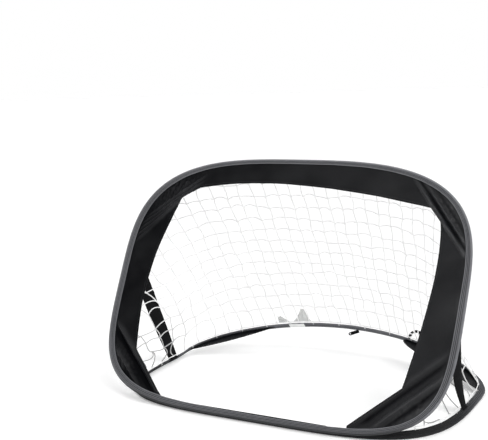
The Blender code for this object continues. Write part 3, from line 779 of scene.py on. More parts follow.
# The net cord has a painted glow.
NET_CORD = braided_cord("net_cord", (0.8, 0.8, 0.8), painted_glow=0.2)
GREY_THREAD = braided_cord("grey_thread", (0.16, 0.16, 0.17))
BLACK_THREAD = braided_cord("black_thread", (0.02, 0.02, 0.022))
FILM = label_film("label_film", (0.62, 0.63, 0.62), 0.62)
DOUBLED_FILM = label_film("doubled_label_film", (0.88, 0.89, 0.88), 0.95)
SPRING_STEEL = metal("spring_steel_look", (0.5, 0.5, 0.52), 0.3, 500.0)
CRIMPED_STEEL = metal("crimped_steel_look", (0.62, 0.62, 0.6), 0.28, 300.0)
EYELET_METAL = metal("eyelet_enamel", (0.035, 0.035, 0.038), 0.35, 250.0)


# ---------------------------------------------------------------- sleeves and their stitching


def sleeve_half_thickness(inward):
    """Half the folded sleeve's thickness at a distance inward from the wire."""
    bead = np.sqrt(np.clip(BEAD_RADIUS**2 - inward**2, 0, None))
    leaf = np.full_like(inward, SLEEVE_HALF_THICKNESS)
    seams = (0.0, *SLEEVE_GROOVES, SLEEVE_REACH)
    for low, high in zip(seams[:-1], seams[1:]):
        middle, half = (low + high) / 2, (high - low) / 2
        leaf += LEAF_CROWN * np.clip(1 - ((inward - middle) / half) ** 2, 0, None)
    for groove in SLEEVE_GROOVES:
        leaf -= GROOVE_DEPTH * bell(inward - groove, GROOVE_HALF_WIDTH)
    edge = np.clip((SLEEVE_REACH - inward) / SLEEVE_EDGE_ROUNDING, 0, 1)
    leaf = SLEEVE_MOUTH + (leaf - SLEEVE_MOUTH) * np.sqrt(1 - (1 - edge) ** 2)
    shoulder = smooth_step(inward, BEAD_ENDS_AT, LEAF_STARTS_AT)
    return np.where(inward < BEAD_ENDS_AT, bead, bead * (1 - shoulder) + leaf * shoulder)


def sleeve_profile():
    """The folded tape's section: its outside from edge to edge round the bead, then its inside."""
    bead_turns = np.linspace(pi, 0.5 * pi - 0.25, 11)
    leaf = np.linspace(0.0018, SLEEVE_REACH, 42)
    inward = np.concatenate([BEAD_RADIUS * np.cos(bead_turns), leaf])
    upper = np.stack([inward, sleeve_half_thickness(inward)], axis=1)
    lower = upper[:0:-1] * (1, -1)
    mouth = np.array([[SLEEVE_REACH - 0.0004, -SLEEVE_MOUTH], [0.006, -SLEEVE_MOUTH]])
    bore_turns = np.linspace(-0.28 * pi, -1.72 * pi, 13)
    bore = SLEEVE_BORE_RADIUS * np.stack([np.cos(bore_turns), np.sin(bore_turns)], axis=1)
    inside = np.vstack([mouth, bore, mouth[::-1] * (1, -1)])
    return np.vstack([lower, upper]), inside


def gathering(ring, distances):
    """How tightly the ring bends, as a share of its tightest bend: the sleeve puckers there."""
    before, after = ring.line.along(distances - 0.02), ring.line.along(distances + 0.02)
    bend = np.linalg.norm(after - before, axis=1)
    return bend / bend.max()


def front_painted_shade(points, inward):
    """Painted shade on the front sleeve: darkest on the bead of its front rail, and greyer down its sides."""
    height = (points - HINGE) @ UP_RING
    bead = (1 - smooth_step(inward, -0.001, 0.005)) * (1 - smooth_step(height, 0.02, 0.12))
    left = smooth_step(-points[..., 0], 0.3, 0.6)
    right = smooth_step(points[..., 0], 0.52, 0.6)
    return np.maximum(0.85 * bead, 0.32 * left + 0.16 * right)


def base_painted_shade(points, inward):
    """Painted shade on the base sleeve: darkest at the front, and lighter round to the back rail."""
    depth = points[..., 1] - HINGE[1]
    return 0.95 - 0.4 * smooth_step(depth, 0.25, 0.5) - 0.5 * smooth_step(depth, 0.58, 0.7)


def sleeve_surface(ring, distances, inward, out, on_outside, seed):
    """The sleeve's points: puckered where the ring bends, wavy at its edge, as wide as the ring says."""
    walked = distances[:, None]
    _, inward_way, out_way = ring.directions(distances)
    on_leaf = smooth_step(inward, 0.004, 0.012)
    puckers = gathering(ring, distances)[:, None] ** 1.5
    gathers = np.sin(2 * pi * walked / PUCKER_PITCH + 9 * np.sin(walked * 23 + seed))
    drift = 0.00025 * ripples(walked, inward * 3, 0.035, seed)
    lift = on_leaf * on_outside * (PUCKER_DEPTH * puckers * gathers + drift)
    waver = 0.0006 * ripples(walked, inward * 0, 0.06, seed + 1)
    sway = 0.0008 * ripples(walked, inward * 0, 0.09, seed + 2)
    showing = np.where(inward > 0, ring.reach(distances)[:, None], 1.0)
    pushed = (inward + on_leaf * waver) * showing
    raised = out + lift * np.sign(out) + on_leaf * sway
    beside = inward_way[:, None] * pushed[..., None] + out_way[:, None] * raised[..., None]
    return ring.line.at(distances)[:, None] + beside


def sleeve(name, ring, node, body, material, thread, seed, painted_shade):
    """A ring's folded tape sleeve, with painted shade in its grooves and where its shade function says, and
    its four rows of stitching.
    """
    outside, inside = sleeve_profile()
    profile = np.vstack([outside, inside])
    count = int(ring.length / SLEEVE_STEP)
    distances = np.linspace(0, ring.length, count, endpoint=False)
    inward, out = (np.repeat(axis[None], count, axis=0) for axis in profile.T)
    on_outside = np.arange(len(profile)) < len(outside)
    points = sleeve_surface(ring, distances, inward, out, on_outside, seed)
    steps = np.linalg.norm(np.diff(profile, axis=0, append=profile[:1]), axis=1)
    round_section = np.concatenate([[0.0], np.cumsum(steps)])
    uvs = np.stack(np.meshgrid(np.append(distances, ring.length), round_section, indexing="ij"), axis=-1)
    builder = Builder()
    builder.add(points, uvs, True, True)
    made = builder.finish(name, material)
    # Painted shade in the grooves and wherever the shade function puts it.
    groove_shade = np.max([bell(inward - groove, GROOVE_SHADE_WIDTH) for groove in SLEEVE_GROOVES], axis=0)
    set_attribute(made, "painted_shade", np.maximum(groove_shade, painted_shade(points, inward)))
    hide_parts(node)
    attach(made, body)

    stitches = Builder()
    for groove in (SLEEVE_GROOVES[0], SLEEVE_GROOVES[2]):
        surface = float(sleeve_half_thickness(np.array([groove]))[0])
        for face in (1, -1):
            stitch_row(stitches, ring, groove, face * surface)
    made = stitches.finish(f"{name}_stitching", thread)
    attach(made, body)


def stitch_rise(count):
    """Height of a stitched thread over the cloth at points a quarter of a stitch apart."""
    return STITCH_RISE[np.arange(count) % 4] * THREAD_RADIUS


def stitch_row(builder, ring, inward, out):
    """One row of lockstitch round a ring, on the face that out is on."""
    count = int(ring.length / STITCH_PITCH) * 4
    distances = np.arange(count) * ring.length / count
    path = ring.beside(distances, inward * ring.reach(distances), out + np.sign(out) * stitch_rise(count))
    builder.tube(path, THREAD_RADIUS, sides=4, closed=True)


# ---------------------------------------------------------------- border


class Crease:
    """A fold in the border cloth, from start to end in the ring's plane, raised or sunk by height."""

    def __init__(self, start, end, height, left, right, fade=0.25):
        self.start, self.end = np.array(start), np.array(end)
        self.height, self.left, self.right, self.fade = height, left, right, fade

    def lift(self, across, up):
        way = self.end - self.start
        length = np.linalg.norm(way)
        way = way / length
        east, north = across - self.start[0], up - self.start[1]
        walked = (east * way[0] + north * way[1]) / length
        aside = north * way[0] - east * way[1]
        window = smooth_step(walked, 0.0, self.fade) * smooth_step(1 - walked, 0.0, self.fade)
        return self.height * window * np.where(aside > 0, bell(aside, self.left), bell(aside, self.right))


CREASES = [
    # top right: two parallel ridges with a sharp valley between, and full cloth behind them
    Crease((0.592, 0.552), (0.385, 0.805), 0.0065, 0.0042, 0.016, 0.06),
    Crease((0.592, 0.572), (0.395, 0.812), -0.0085, 0.0042, 0.0042, 0.06),
    Crease((0.592, 0.588), (0.405, 0.818), 0.0060, 0.005, 0.0036, 0.08),
    Crease((0.592, 0.612), (0.430, 0.812), -0.0035, 0.004, 0.004, 0.1),
    Crease((0.592, 0.645), (0.47, 0.800), 0.0065, 0.013, 0.012, 0.2),
    Crease((0.54, 0.615), (0.43, 0.745), 0.0035, 0.004, 0.006, 0.3),
    # top left: a bundle of narrow pleats
    Crease((-0.33, 0.800), (-0.575, 0.612), 0.0045, 0.003, 0.006, 0.2),
    Crease((-0.34, 0.778), (-0.585, 0.590), 0.0055, 0.003, 0.006, 0.2),
    Crease((-0.36, 0.756), (-0.59, 0.568), 0.0055, 0.003, 0.006, 0.2),
    Crease((-0.395, 0.722), (-0.595, 0.545), 0.0050, 0.003, 0.006, 0.22),
    Crease((-0.44, 0.685), (-0.595, 0.520), 0.0040, 0.003, 0.007, 0.25),
    Crease((-0.33, 0.76), (-0.45, 0.67), 0.003, 0.004, 0.005, 0.3),
    # bottom left: one long ridge with a valley behind it
    Crease((-0.592, 0.262), (-0.33, 0.012), 0.0075, 0.012, 0.004, 0.15),
    Crease((-0.588, 0.240), (-0.35, 0.008), -0.009, 0.004, 0.009, 0.18),
    Crease((-0.585, 0.185), (-0.40, 0.012), 0.0050, 0.006, 0.006, 0.25),
    Crease((-0.582, 0.145), (-0.44, 0.012), -0.0040, 0.005, 0.006, 0.25),
    # bottom right: a fan from the right sleeve, its ridges sharp on their lower side
    Crease((0.31, 0.022), (0.60, 0.290), 0.0050, 0.012, 0.004, 0.15),
    Crease((0.33, 0.018), (0.60, 0.268), -0.0055, 0.004, 0.009, 0.18),
    Crease((0.37, 0.012), (0.60, 0.222), 0.0080, 0.007, 0.004, 0.25),
    Crease((0.40, 0.010), (0.60, 0.203), -0.0060, 0.004, 0.008, 0.22),
    Crease((0.44, 0.010), (0.60, 0.165), 0.0050, 0.010, 0.005, 0.3),
    Crease((0.47, 0.010), (0.60, 0.140), -0.0040, 0.005, 0.008, 0.22),
]
CRUMPLED = [((0.53, 0.70), 0.06), ((-0.545, 0.09), 0.07), ((0.53, 0.08), 0.06), ((-0.47, 0.735), 0.08)]


def bow(start, middle, end, count):
    """Points of the parabola through three points."""
    start, middle, end = (np.array(p) for p in (start, middle, end))
    pull = 2 * middle - (start + end) / 2
    t = np.linspace(0, 1, count)[:, None]
    return (1 - t) ** 2 * start + 2 * t * (1 - t) * pull + t * t * end


def straight(start, end, count):
    t = np.linspace(0, 1, count)[:, None]
    return np.array(start) * (1 - t) + np.array(end) * t


def border_stretches():
    """The border's free edge from the right foot to the left foot: start, end, and the middle if it bows."""
    return [
        (RIGHT_FOOT, RIGHT_LOW_CORNER, None),
        (RIGHT_LOW_CORNER, RIGHT_HIGH_CORNER, RIGHT_WAIST),
        (RIGHT_HIGH_CORNER, TOP_RIGHT_CORNER, None),
        (TOP_RIGHT_CORNER, TOP_LEFT_CORNER, TOP_MIDDLE),
        (TOP_LEFT_CORNER, LEFT_HIGH_CORNER, None),
        (LEFT_HIGH_CORNER, LEFT_LOW_CORNER, LEFT_WAIST),
        (LEFT_LOW_CORNER, LEFT_FOOT, None),
    ]


def in_plane(points):
    """Across and up coordinates of world points in the front ring's plane."""
    offset = points - HINGE
    return np.stack([offset @ ACROSS, offset @ UP_RING], axis=-1)


def border_edges(ring):
    """Matching points along the sleeve and along the free edge."""
    outer, inner = [], []
    for start, end, middle in border_stretches():
        from_distance, to_distance = (ring.distance_at(plane_point(*corner)) for corner in (start, end))
        count = int((to_distance - from_distance) / BORDER_STEP) + 2
        distances = np.linspace(from_distance, to_distance, count)
        free_edge = bow(start, middle, end, count) if middle else straight(start, end, count)
        skip = 1 if outer else 0
        outer.append(in_plane(ring.beside(distances, BORDER_INSET))[skip:])
        inner.append(free_edge[skip:])
    return np.vstack(outer), np.vstack(inner)


def cloth_lift(across, up, from_sleeve, from_edge):
    """How far the cloth stands off the ring's plane, and the painted light and shade on its face."""
    lift = sum(crease.lift(across, up) for crease in CREASES)
    crumple = np.zeros_like(across)
    for (x, y), reach in CRUMPLED:
        coarse = 0.006 * np.abs(ripples(across, up, 0.03, 3))
        fine = 0.002 * ripples(across, up, 0.012, 4)
        crumple += bell(np.hypot(across - x, up - y), reach) * (coarse + fine)
    calm = 0.0022 * ripples(across, up, 0.19, 5) + 0.0006 * ripples(across, up, 0.05, 6)
    lift = lift * (0.35 + 0.65 * smooth_step(from_edge, 0.0, 0.014)) + crumple + calm
    # Painted light: lighter where the cloth lifts and towards the right, darker where it sinks.
    painted_light = np.clip(CALM_PAINTED_LIGHT + (lift + RIGHTWARD_PAINTED_LIGHT * across) / PAINTED_LIGHT_RANGE, 0, 1)
    freed_forward = smooth_step(from_sleeve, 0.008, 0.024)
    freed_backward = smooth_step(from_sleeve, 0.014, 0.04)
    return lift * np.where(lift > 0, freed_forward, freed_backward), painted_light


def half_cloth(from_edge):
    """Half the cloth's thickness, doubled where it is hemmed."""
    hem = smooth_step(HEM_WIDTH - from_edge, -0.0008, 0.0008)
    return (CLOTH_THICKNESS + (HEM_THICKNESS - CLOTH_THICKNESS) * hem) / 2


def border(ring):
    """The cloth border of the mouth, from the sleeve to its hemmed free edge."""
    outer, inner = border_edges(ring)
    share = np.linspace(0, 1, BORDER_ROWS)[:, None]
    flat = outer[None] * (1 - share[..., None]) + inner[None] * share[..., None]
    across, up = flat[..., 0], flat[..., 1]
    width = np.linalg.norm(inner - outer, axis=1)
    from_edge = (1 - share) * width
    lift, painted_light = cloth_lift(across, up, share * width, from_edge)
    half = half_cloth(from_edge)
    builder = Builder()
    solid_sheet(builder, plane_point(across, up, lift + half), plane_point(across, up, lift - half), flat)
    made = builder.finish("border_cloth", BORDER_CLOTH)
    # The cloth carries its painted light and shade at each corner.
    set_attribute(made, "painted_light", np.concatenate([painted_light, painted_light[:, ::-1]], axis=1))
    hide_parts(*(node for node in frame["nodes"] if node.startswith("border_")))
    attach(made, "front_ring")

    row = np.abs(from_edge - HEM_STITCHES_IN).argmin(axis=0)
    height = lift[row, np.arange(len(row))]
    along_hem = inner - (inner - outer) / width[:, None] * HEM_STITCHES_IN
    hem_line = Line(np.concatenate([along_hem, height[:, None]], axis=1)[::3], steps=4)
    count = int(hem_line.length / STITCH_PITCH) * 4
    across, up, height = hem_line.at(np.linspace(0, hem_line.length, count)).T
    rise = stitch_rise(count) + HEM_THICKNESS / 2
    stitches = Builder()
    for face in (1, -1):
        stitches.tube(plane_point(across, up, height + face * rise), THREAD_RADIUS, sides=4)
    made = stitches.finish("border_hem_stitching", BLACK_THREAD)
    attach(made, "front_ring")


# ---------------------------------------------------------------- net


def at_side(share):
    """0 along the back of the net and 1 along its sides."""
    return smooth_step(np.abs(np.asarray(share) - 0.5), 0.16, 0.3)


def column_shares():
    """The columns stand closer on the right half of the back, and wider apart along the sides."""
    places = np.linspace(0, 1, 400)
    density = 1 - 0.35 * at_side(places) + 0.12 * np.sin(2 * pi * places)
    walked = np.concatenate([[0.0], np.cumsum(density[1:])])
    return np.interp(np.linspace(0, walked[-1], NET_COLUMNS), walked, places)


class Net:
    """The cord mesh that hangs between the head cord and the hem.

    A share runs along both edge cords, and a drop from the head, 0, down to the hem, 1.
    Rows start parallel to the hem and end where they meet the head cord.
    """

    def __init__(self, head, hem):
        self.head, self.hem = head, hem
        self.random = np.random.default_rng(11)
        self.shares = column_shares()
        self.tops = self.spot(self.shares, np.zeros(NET_COLUMNS))
        self.bottoms = self.spot(self.shares, np.ones(NET_COLUMNS))
        self.spans = np.linalg.norm(self.tops - self.bottoms, axis=1)
        self.mesh = NET_MESH * (1 + NET_SIDE_MESH_EXTRA * at_side(self.shares))
        self.counts = np.maximum((self.spans / self.mesh - 0.3).astype(int), 0)
        self.hang()

    def spot(self, share, drop):
        """A point of the net, sagging inward and down between its edge cords."""
        top = self.head.at(share * self.head.length) - 0.0035 * OUT_OF_MOUTH
        bottom = self.hem.at(share * self.hem.length) + 0.003 * SKYWARD
        spot = top + (bottom - top) * drop[..., None]
        span = np.linalg.norm(bottom - top, axis=-1)
        sag = (drop * (1 - drop) * np.minimum(1.0, span / NET_FULL_SAG_SPAN))[..., None]
        middle = np.array([0.0, (CAD_BOX[0].y + CAD_BOX[1].y) / 2, NET_MIDDLE_HEIGHT])
        back, side = NET_SAG_INWARD["back"], NET_SAG_INWARD["side"]
        inward = back + (side - back) * at_side(share)[..., None]
        return spot + unit(middle - spot) * sag * inward - SKYWARD * sag * NET_SAG_DOWN

    def hang(self):
        """Places the knots of every column, a little unevenly."""
        share, row = np.meshgrid(self.shares, np.arange(1, self.counts.max() + 1), indexing="ij")
        climbed = np.minimum(1, row * (self.mesh / self.spans)[:, None])
        drop = 1 - climbed**NET_ROWS_EVENNESS
        loose_ends = bell(share, NET_END_REACH) + bell(1 - share, NET_END_REACH)
        self.slack = 1 + NET_END_SLACK * loose_ends
        share = share + self.random.normal(0, 0.0009, share.shape) * self.slack
        self.drops = drop + self.random.normal(0, 0.0045, drop.shape) * self.slack
        jitter = self.random.normal(0, 0.0013, (*drop.shape, 3)) * self.slack[..., None]
        self.knots = self.spot(share, self.drops) + jitter

    def add_columns(self, builder):
        for column, count in enumerate(self.counts):
            spots = np.vstack([self.bottoms[column], self.knots[column, :count], self.tops[column]])
            drops = np.concatenate([[1.0], self.drops[column, :count], [0.0]])
            bows = self.random.normal(0, 0.035, (count + 1, 3)) * self.slack[column, 0]
            path, weights = bowed_cord(spots, drops, bows)
            builder.tube(path, NET_CORD_RADIUS, share=weights)

    def add_rows(self, builder):
        for index in range(self.counts.max()):
            reached = np.flatnonzero(self.counts > index)
            for run in np.split(reached, np.flatnonzero(np.diff(reached) > 1) + 1):
                first, last = self.row_end(index, run[0], -1), self.row_end(index, run[-1], 1)
                spots = np.vstack([first, self.knots[run, index], last])
                drops = np.concatenate([[0.0], self.drops[run, index], [0.0]])
                spans = len(spots) - 1
                upward = np.clip(self.random.normal(0.085, 0.04, (spans, 1)), -0.02, 0.17) * SKYWARD
                loose = self.slack[np.append(run[0], run), index][:, None]
                bows = upward + self.random.normal(0, 0.03, (spans, 3)) * loose
                path, weights = bowed_cord(spots, drops, bows)
                builder.tube(path, NET_CORD_RADIUS, share=weights)

    def row_end(self, index, column, step):
        """Where a row that leaves its last column meets the head cord."""
        beyond = column + step
        if not 0 <= beyond < NET_COLUMNS:
            beyond = column
        height = (index + 1) * self.mesh[column]
        fall = self.spans[column] - self.spans[beyond]
        part = np.clip((self.spans[column] - height) / fall, 0.15, 1.0) if fall > 0 else 0.5
        share = self.shares[column] + (self.shares[beyond] - self.shares[column]) * part
        return self.spot(np.array([share]), np.zeros(1))[0]

    def add_knots(self, builder):
        for column, count in enumerate(self.counts):
            for index in range(count):
                knot = self.knots[column, index]
                above = self.knots[column, index + 1] if index + 1 < count else self.tops[column]
                down = unit(knot - above)
                face = unit(np.cross(down, ACROSS + 0.3 * SKYWARD))
                axes = np.stack([np.cross(down, face), face, down])
                size = KNOT_RADIUS * self.random.uniform(0.85, 1.15) * np.array([1.0, 0.85, 1.2])
                builder.ball(knot, size, axes, share=self.drops[column, index])


def net(head, hem):
    """The whole net as one piece."""
    hung = Net(head, hem)
    builder = Builder()
    hung.add_columns(builder)
    hung.add_rows(builder)
    hung.add_knots(builder)
    made = builder.finish("net_cords", NET_CORD)
    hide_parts("net_right", "net_back", "net_left")
    bend_with_fold(made)
    # The net carries painted shade low down near its front ends.
    set_attribute(made, "painted_shade", net_painted_shade(made))


def net_painted_shade(made):
    """Painted shade on the net: greyest low down near its front ends."""
    corners = np.array([v.co for v in made.data.vertices])
    low = 1 - smooth_step(corners[:, 2], 0.04, 0.3)
    near = 1 - smooth_step(corners[:, 1], HINGE[1] + 0.3, HINGE[1] + 0.55)
    return 0.75 * low * near * smooth_step(np.abs(corners[:, 0]), 0.4, 0.55)


def bowed_cord(knots, drops, bows, steps=6):
    """A cord through its knots, bowed between them by shares of each span, and its drop at each point."""
    spans = knots[1:] - knots[:-1]
    lengths = np.linalg.norm(spans, axis=1, keepdims=True)
    t = (np.arange(steps) / steps)[None, :, None]
    arch = 4 * t * (1 - t)
    path = knots[:-1, None] + spans[:, None] * t + (bows * lengths)[:, None] * arch
    weights = drops[:-1, None] + (drops[1:] - drops[:-1])[:, None] * t[..., 0]
    path = np.vstack([path.reshape(-1, 3), knots[-1:]])
    return path, np.append(weights.reshape(-1), drops[-1])


def edge_cord(name, node, line, body):
    """A plain cord along the net's head or hem, with the net's end loops tied round it."""
    distances = np.linspace(0, line.length, int(line.length / 0.006))
    waves = [ripples(distances, distances * 0, 0.05, seed) for seed in (21, 22, 23)]
    wobble = 0.0006 * np.stack(waves, axis=1)
    builder = Builder()
    builder.tube(line.at(distances) + wobble, EDGE_CORD_RADIUS, sides=8)
    turns = 2 * pi * np.arange(10)[:, None] / 10
    reach = EDGE_CORD_RADIUS + LOOP_RADIUS * 0.8
    for share in column_shares():
        for shift in (-0.0012, 0.0012):
            distance = np.clip(share * line.length + shift, 0, line.length)
            along = line.along(distance)
            side = unit(np.cross(along, SKYWARD))
            other = np.cross(along, side)
            loop = line.at(distance) + reach * (np.cos(turns) * side + np.sin(turns) * other)
            builder.tube(loop, LOOP_RADIUS, sides=6, closed=True)
    made = builder.finish(name, NET_CORD)
    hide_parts(node)
    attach(made, body)


def ties(name, ring, line, body, faces, bite):
    """Loops of cord that tie the net's edge cord to the sleeve, each passing the faces of its inner edge."""
    random = np.random.default_rng(17)
    builder = Builder()
    for share in np.arange(0.5, NET_COLUMNS, 2) / NET_COLUMNS:
        spot = line.at((share + random.uniform(-0.004, 0.004)) * line.length)
        rail = ring.distance_at(spot)
        edge = SLEEVE_REACH * ring.reach(rail)
        away = unit(spot - ring.beside(rail, edge - bite, 0.0))
        drift = ring.line.along(rail) * random.uniform(0.002, 0.006)
        over = SLEEVE_HALF_THICKNESS + 0.0007
        loop = [spot + away * (EDGE_CORD_RADIUS + 0.0006) + drift]
        loop += [ring.beside(rail, edge + 0.001, faces[0] * 0.0016) + drift * 0.5]
        loop += [ring.beside(rail, edge - bite, face * over) for face in faces]
        loop += [ring.beside(rail, edge + 0.001, faces[-1] * 0.0016) - drift * 0.3]
        builder.tube(smoothed(loop, True, 5), TIE_RADIUS, sides=6, closed=True)
    made = builder.finish(name, NET_CORD)
    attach(made, body)


# ---------------------------------------------------------------- straps and trim


def rounded_edges(place):
    """Thins a strap at its two edges; place runs from -0.5 to 0.5 across it."""
    return np.sqrt(np.clip(1 - (np.abs(place) * 2) ** 14, 0.04, 1))


def ribbon(builder, centres, ways, width, thickness, share=0.0, columns=13):
    """A flat strap along centres, with its width along ways."""
    ways = unit(ways)
    along = unit(np.gradient(centres, axis=0))
    ways = unit(ways - along * (ways * along).sum(axis=1, keepdims=True))
    normal = np.cross(along, ways)[:, None]
    place = np.linspace(-0.5, 0.5, columns)[None]
    sideways = (place * width)[..., None]
    thickness = np.broadcast_to(thickness, len(centres))[:, None]
    half = (thickness / 2 * rounded_edges(place))[..., None]
    middle = centres[:, None] + ways[:, None] * sideways
    steps = np.linalg.norm(np.diff(centres, axis=0, prepend=centres[:1]), axis=1)
    walked = np.cumsum(steps)[:, None] + place * 0
    uvs = np.stack([walked, (place + 0.5) * width + walked * 0], axis=-1)
    shares = np.broadcast_to(share, len(centres))[:, None]
    solid_sheet(builder, middle + normal * half, middle - normal * half, uvs, shares)


def node_corners(node):
    corners = np.array([v.co for v in frame["nodes"][node].data.vertices])
    return np.unique(corners.round(6), axis=0)


def strap(side_name, base):
    """One side strap, from a patch behind the front sleeve to a foot over the base sleeve's edge."""
    side = SIDES[side_name]
    patch = node_corners(f"strap_{side_name}_ring_patch").mean(axis=0)
    rail = base.distance_at(node_corners(f"strap_{side_name}_foot").mean(axis=0))
    strap_webbing(side_name, side, base, patch, rail)
    strap_foot(side_name, base, rail)
    strap_patch(side_name, side, patch)


def foot_width(side_name, down):
    """The strap's width, which shrinks where it is gathered at its foot."""
    return STRAP_WIDTH * (1 - STRAP_PINCH[side_name] * smooth_step(down, 0.72, 0.98))


def strap_webbing(side_name, side, base, patch, rail):
    """The free webbing between the rings, slack and slightly turned."""
    top = patch - OUT_OF_MOUTH * 0.002
    bottom = base.beside(rail, STRAP_FOOT_INWARD, SLEEVE_HALF_THICKNESS + STRAP_FOOT_ABOVE_SLEEVE)
    down, aside = np.meshgrid(np.linspace(0, 1, 90), np.linspace(-0.5, 0.5, 15), indexing="ij")
    frayed = 1 + STRAP_SPIKE[side_name] * bell(down - 0.43, 0.011) * (aside > 0.4)
    width = foot_width(side_name, down) * frayed
    from_ring = top + UP_RING * (aside * STRAP_END_ON_RING)[..., None]
    from_base = bottom + base.line.along(rail) * side * (aside * width)[..., None]
    arch = np.sin(pi * down)
    curl = STRAP_CURL[side_name] * (4 * aside**2) * bell(down - 0.85, 0.2)
    inward = -side * (STRAP_SLACK_INWARD[side_name] * arch + curl)
    turn = STRAP_TWIST * STRAP_WIDTH * aside * arch
    middle = from_ring + (from_base - from_ring) * down[..., None] + ACROSS * (inward + turn)[..., None]
    middle = middle - STRAP_BOW_TO_FRONT * INTO_GOAL * arch[..., None]
    offset = grid_normals(middle) * (STRAP_THICKNESS / 2 * rounded_edges(aside))[..., None]
    uvs = np.stack([down * np.linalg.norm(bottom - top), (aside + 0.5) * STRAP_WIDTH], axis=-1)
    builder = Builder()
    solid_sheet(builder, middle + offset, middle - offset, uvs, down)
    made = builder.finish(f"strap_{side_name}_webbing", BLACK_WEBBING)
    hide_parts(f"strap_{side_name}")
    bend_with_fold(made)


def strap_foot(side_name, base, rail):
    """The strap's end, folded over the base sleeve's inner edge."""
    fold = smoothed(STRAP_FOOT_FOLD, False, 6)
    middle = np.array([base.beside(rail, inward, out) for inward, out in fold])
    along_rail = np.tile(base.line.along(rail), (len(middle), 1))
    builder = Builder()
    ribbon(builder, middle, along_rail, foot_width(side_name, 1.0), STRAP_THICKNESS)
    made = builder.finish(f"strap_{side_name}_foot_webbing", BLACK_WEBBING)
    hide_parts(f"strap_{side_name}_foot")
    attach(made, "base")


def strap_patch(side_name, side, patch):
    """The strap's upper end, sewn flat behind the front sleeve."""
    reach = np.linspace(-STRAP_PATCH_HALF_REACH, STRAP_PATCH_HALF_REACH, 7)
    rows = patch + ACROSS * side * reach[:, None] - OUT_OF_MOUTH * 0.0002
    builder = Builder()
    ribbon(builder, rows, np.tile(UP_RING, (len(rows), 1)), STRAP_WIDTH, STRAP_THICKNESS)
    made = builder.finish(f"strap_{side_name}_patch", BLACK_WEBBING)
    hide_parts(f"strap_{side_name}_ring_patch")
    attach(made, "front_ring")


def gusset(side_name, base):
    """A cloth triangle across a back corner of the base ring; its free edge may bulge near the back rail."""
    corners = node_corners(f"gusset_{side_name}")
    side = SIDES[side_name]
    back = base.distance_at(corners[(corners[:, 0] * side).argmin()])
    flank = base.distance_at(corners[corners[:, 1].argmin()])
    length = flank - back
    along = np.linspace(0, 1, 70)
    distances = np.linspace(back - length * GUSSET_TRIM[0], flank + length * GUSSET_TRIM[1], 70)
    rail = base.beside(distances, 0.008, -0.0008)
    chord = rail[-1] - rail[0]
    into_ring = unit(np.cross(chord, SKYWARD * side))
    bulge = GUSSET_FULLNESS[side_name] * 2 * np.sqrt(along) * (1 - along) ** 3
    edge = rail[0] + chord * along[:, None] + into_ring * bulge[:, None]
    share = np.linspace(0, 1, 18)[:, None, None]
    flat = rail[None] * (1 - share) + edge[None] * share
    sag = np.sin(pi * along)[None] * share[..., 0] * 0.006
    crinkle = 0.0012 * ripples(flat[..., 0], flat[..., 1], 0.03, 31) * np.sin(pi * share[..., 0])
    middle = flat + SKYWARD * (crinkle - sag)[..., None]
    width = np.linalg.norm(edge - rail, axis=1)[None]
    hem = smooth_step(share[..., 0] * width, width - 0.009, width - 0.007)
    half = (CLOTH_THICKNESS + (HEM_THICKNESS - CLOTH_THICKNESS) * hem)[..., None] / 2 * SKYWARD
    keep = slice(1, -2)
    builder = Builder()
    solid_sheet(builder, (middle + half)[:, keep], (middle - half)[:, keep], flat[:, keep, :2])
    made = builder.finish(f"gusset_{side_name}_cloth", BORDER_CLOTH)
    # The gusset gets one painted light, a little darker than calm border cloth.
    set_attribute(made, "painted_light", np.full(len(made.data.vertices), GUSSET_PAINTED_LIGHT))
    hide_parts(f"gusset_{side_name}")
    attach(made, "base")


def seam_tape():
    """The cloth hinge between the two front rails."""
    corners = node_corners("front_seam_tape")
    section = corners[corners[:, 0] > 0][:, 1:]
    order = np.argsort(-section[:, 1])
    upper, lower = section[order[:2]].mean(axis=0), section[order[-2:]].mean(axis=0)
    corner = section[section[:, 0] < section[:, 0].min() + 0.0035].mean(axis=0)
    line = smoothed(np.array([upper, corner * 0.75 + (upper + lower) * 0.125, lower]), False, 8)
    half_length = corners[:, 0].max()
    centres = np.stack([np.zeros(len(line)), line[:, 0], line[:, 1]], axis=1)
    builder = Builder()
    shares = smooth_step(np.linspace(0, 1, len(line)), 0.2, 0.8)
    ways = np.tile(ACROSS, (len(line), 1))
    ribbon(builder, centres, ways, 2 * half_length, SEAM_TAPE_THICKNESS, share=shares, columns=81)
    made = builder.finish("seam_tape_webbing", BLACK_WEBBING)
    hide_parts("front_seam_tape")
    bend_with_fold(made)


def pivot_frame(joint_name):
    """Place of a small joint, with its axis, the upward direction beside it, and the way across both."""
    joint = next(j for j in frame["joints"] if j["name"] == joint_name)
    along = unit(np.array(joint["axis"], float))
    up = unit(SKYWARD - along * along[2])
    return np.array(joint["pos_m"]), along, up, np.cross(up, along)


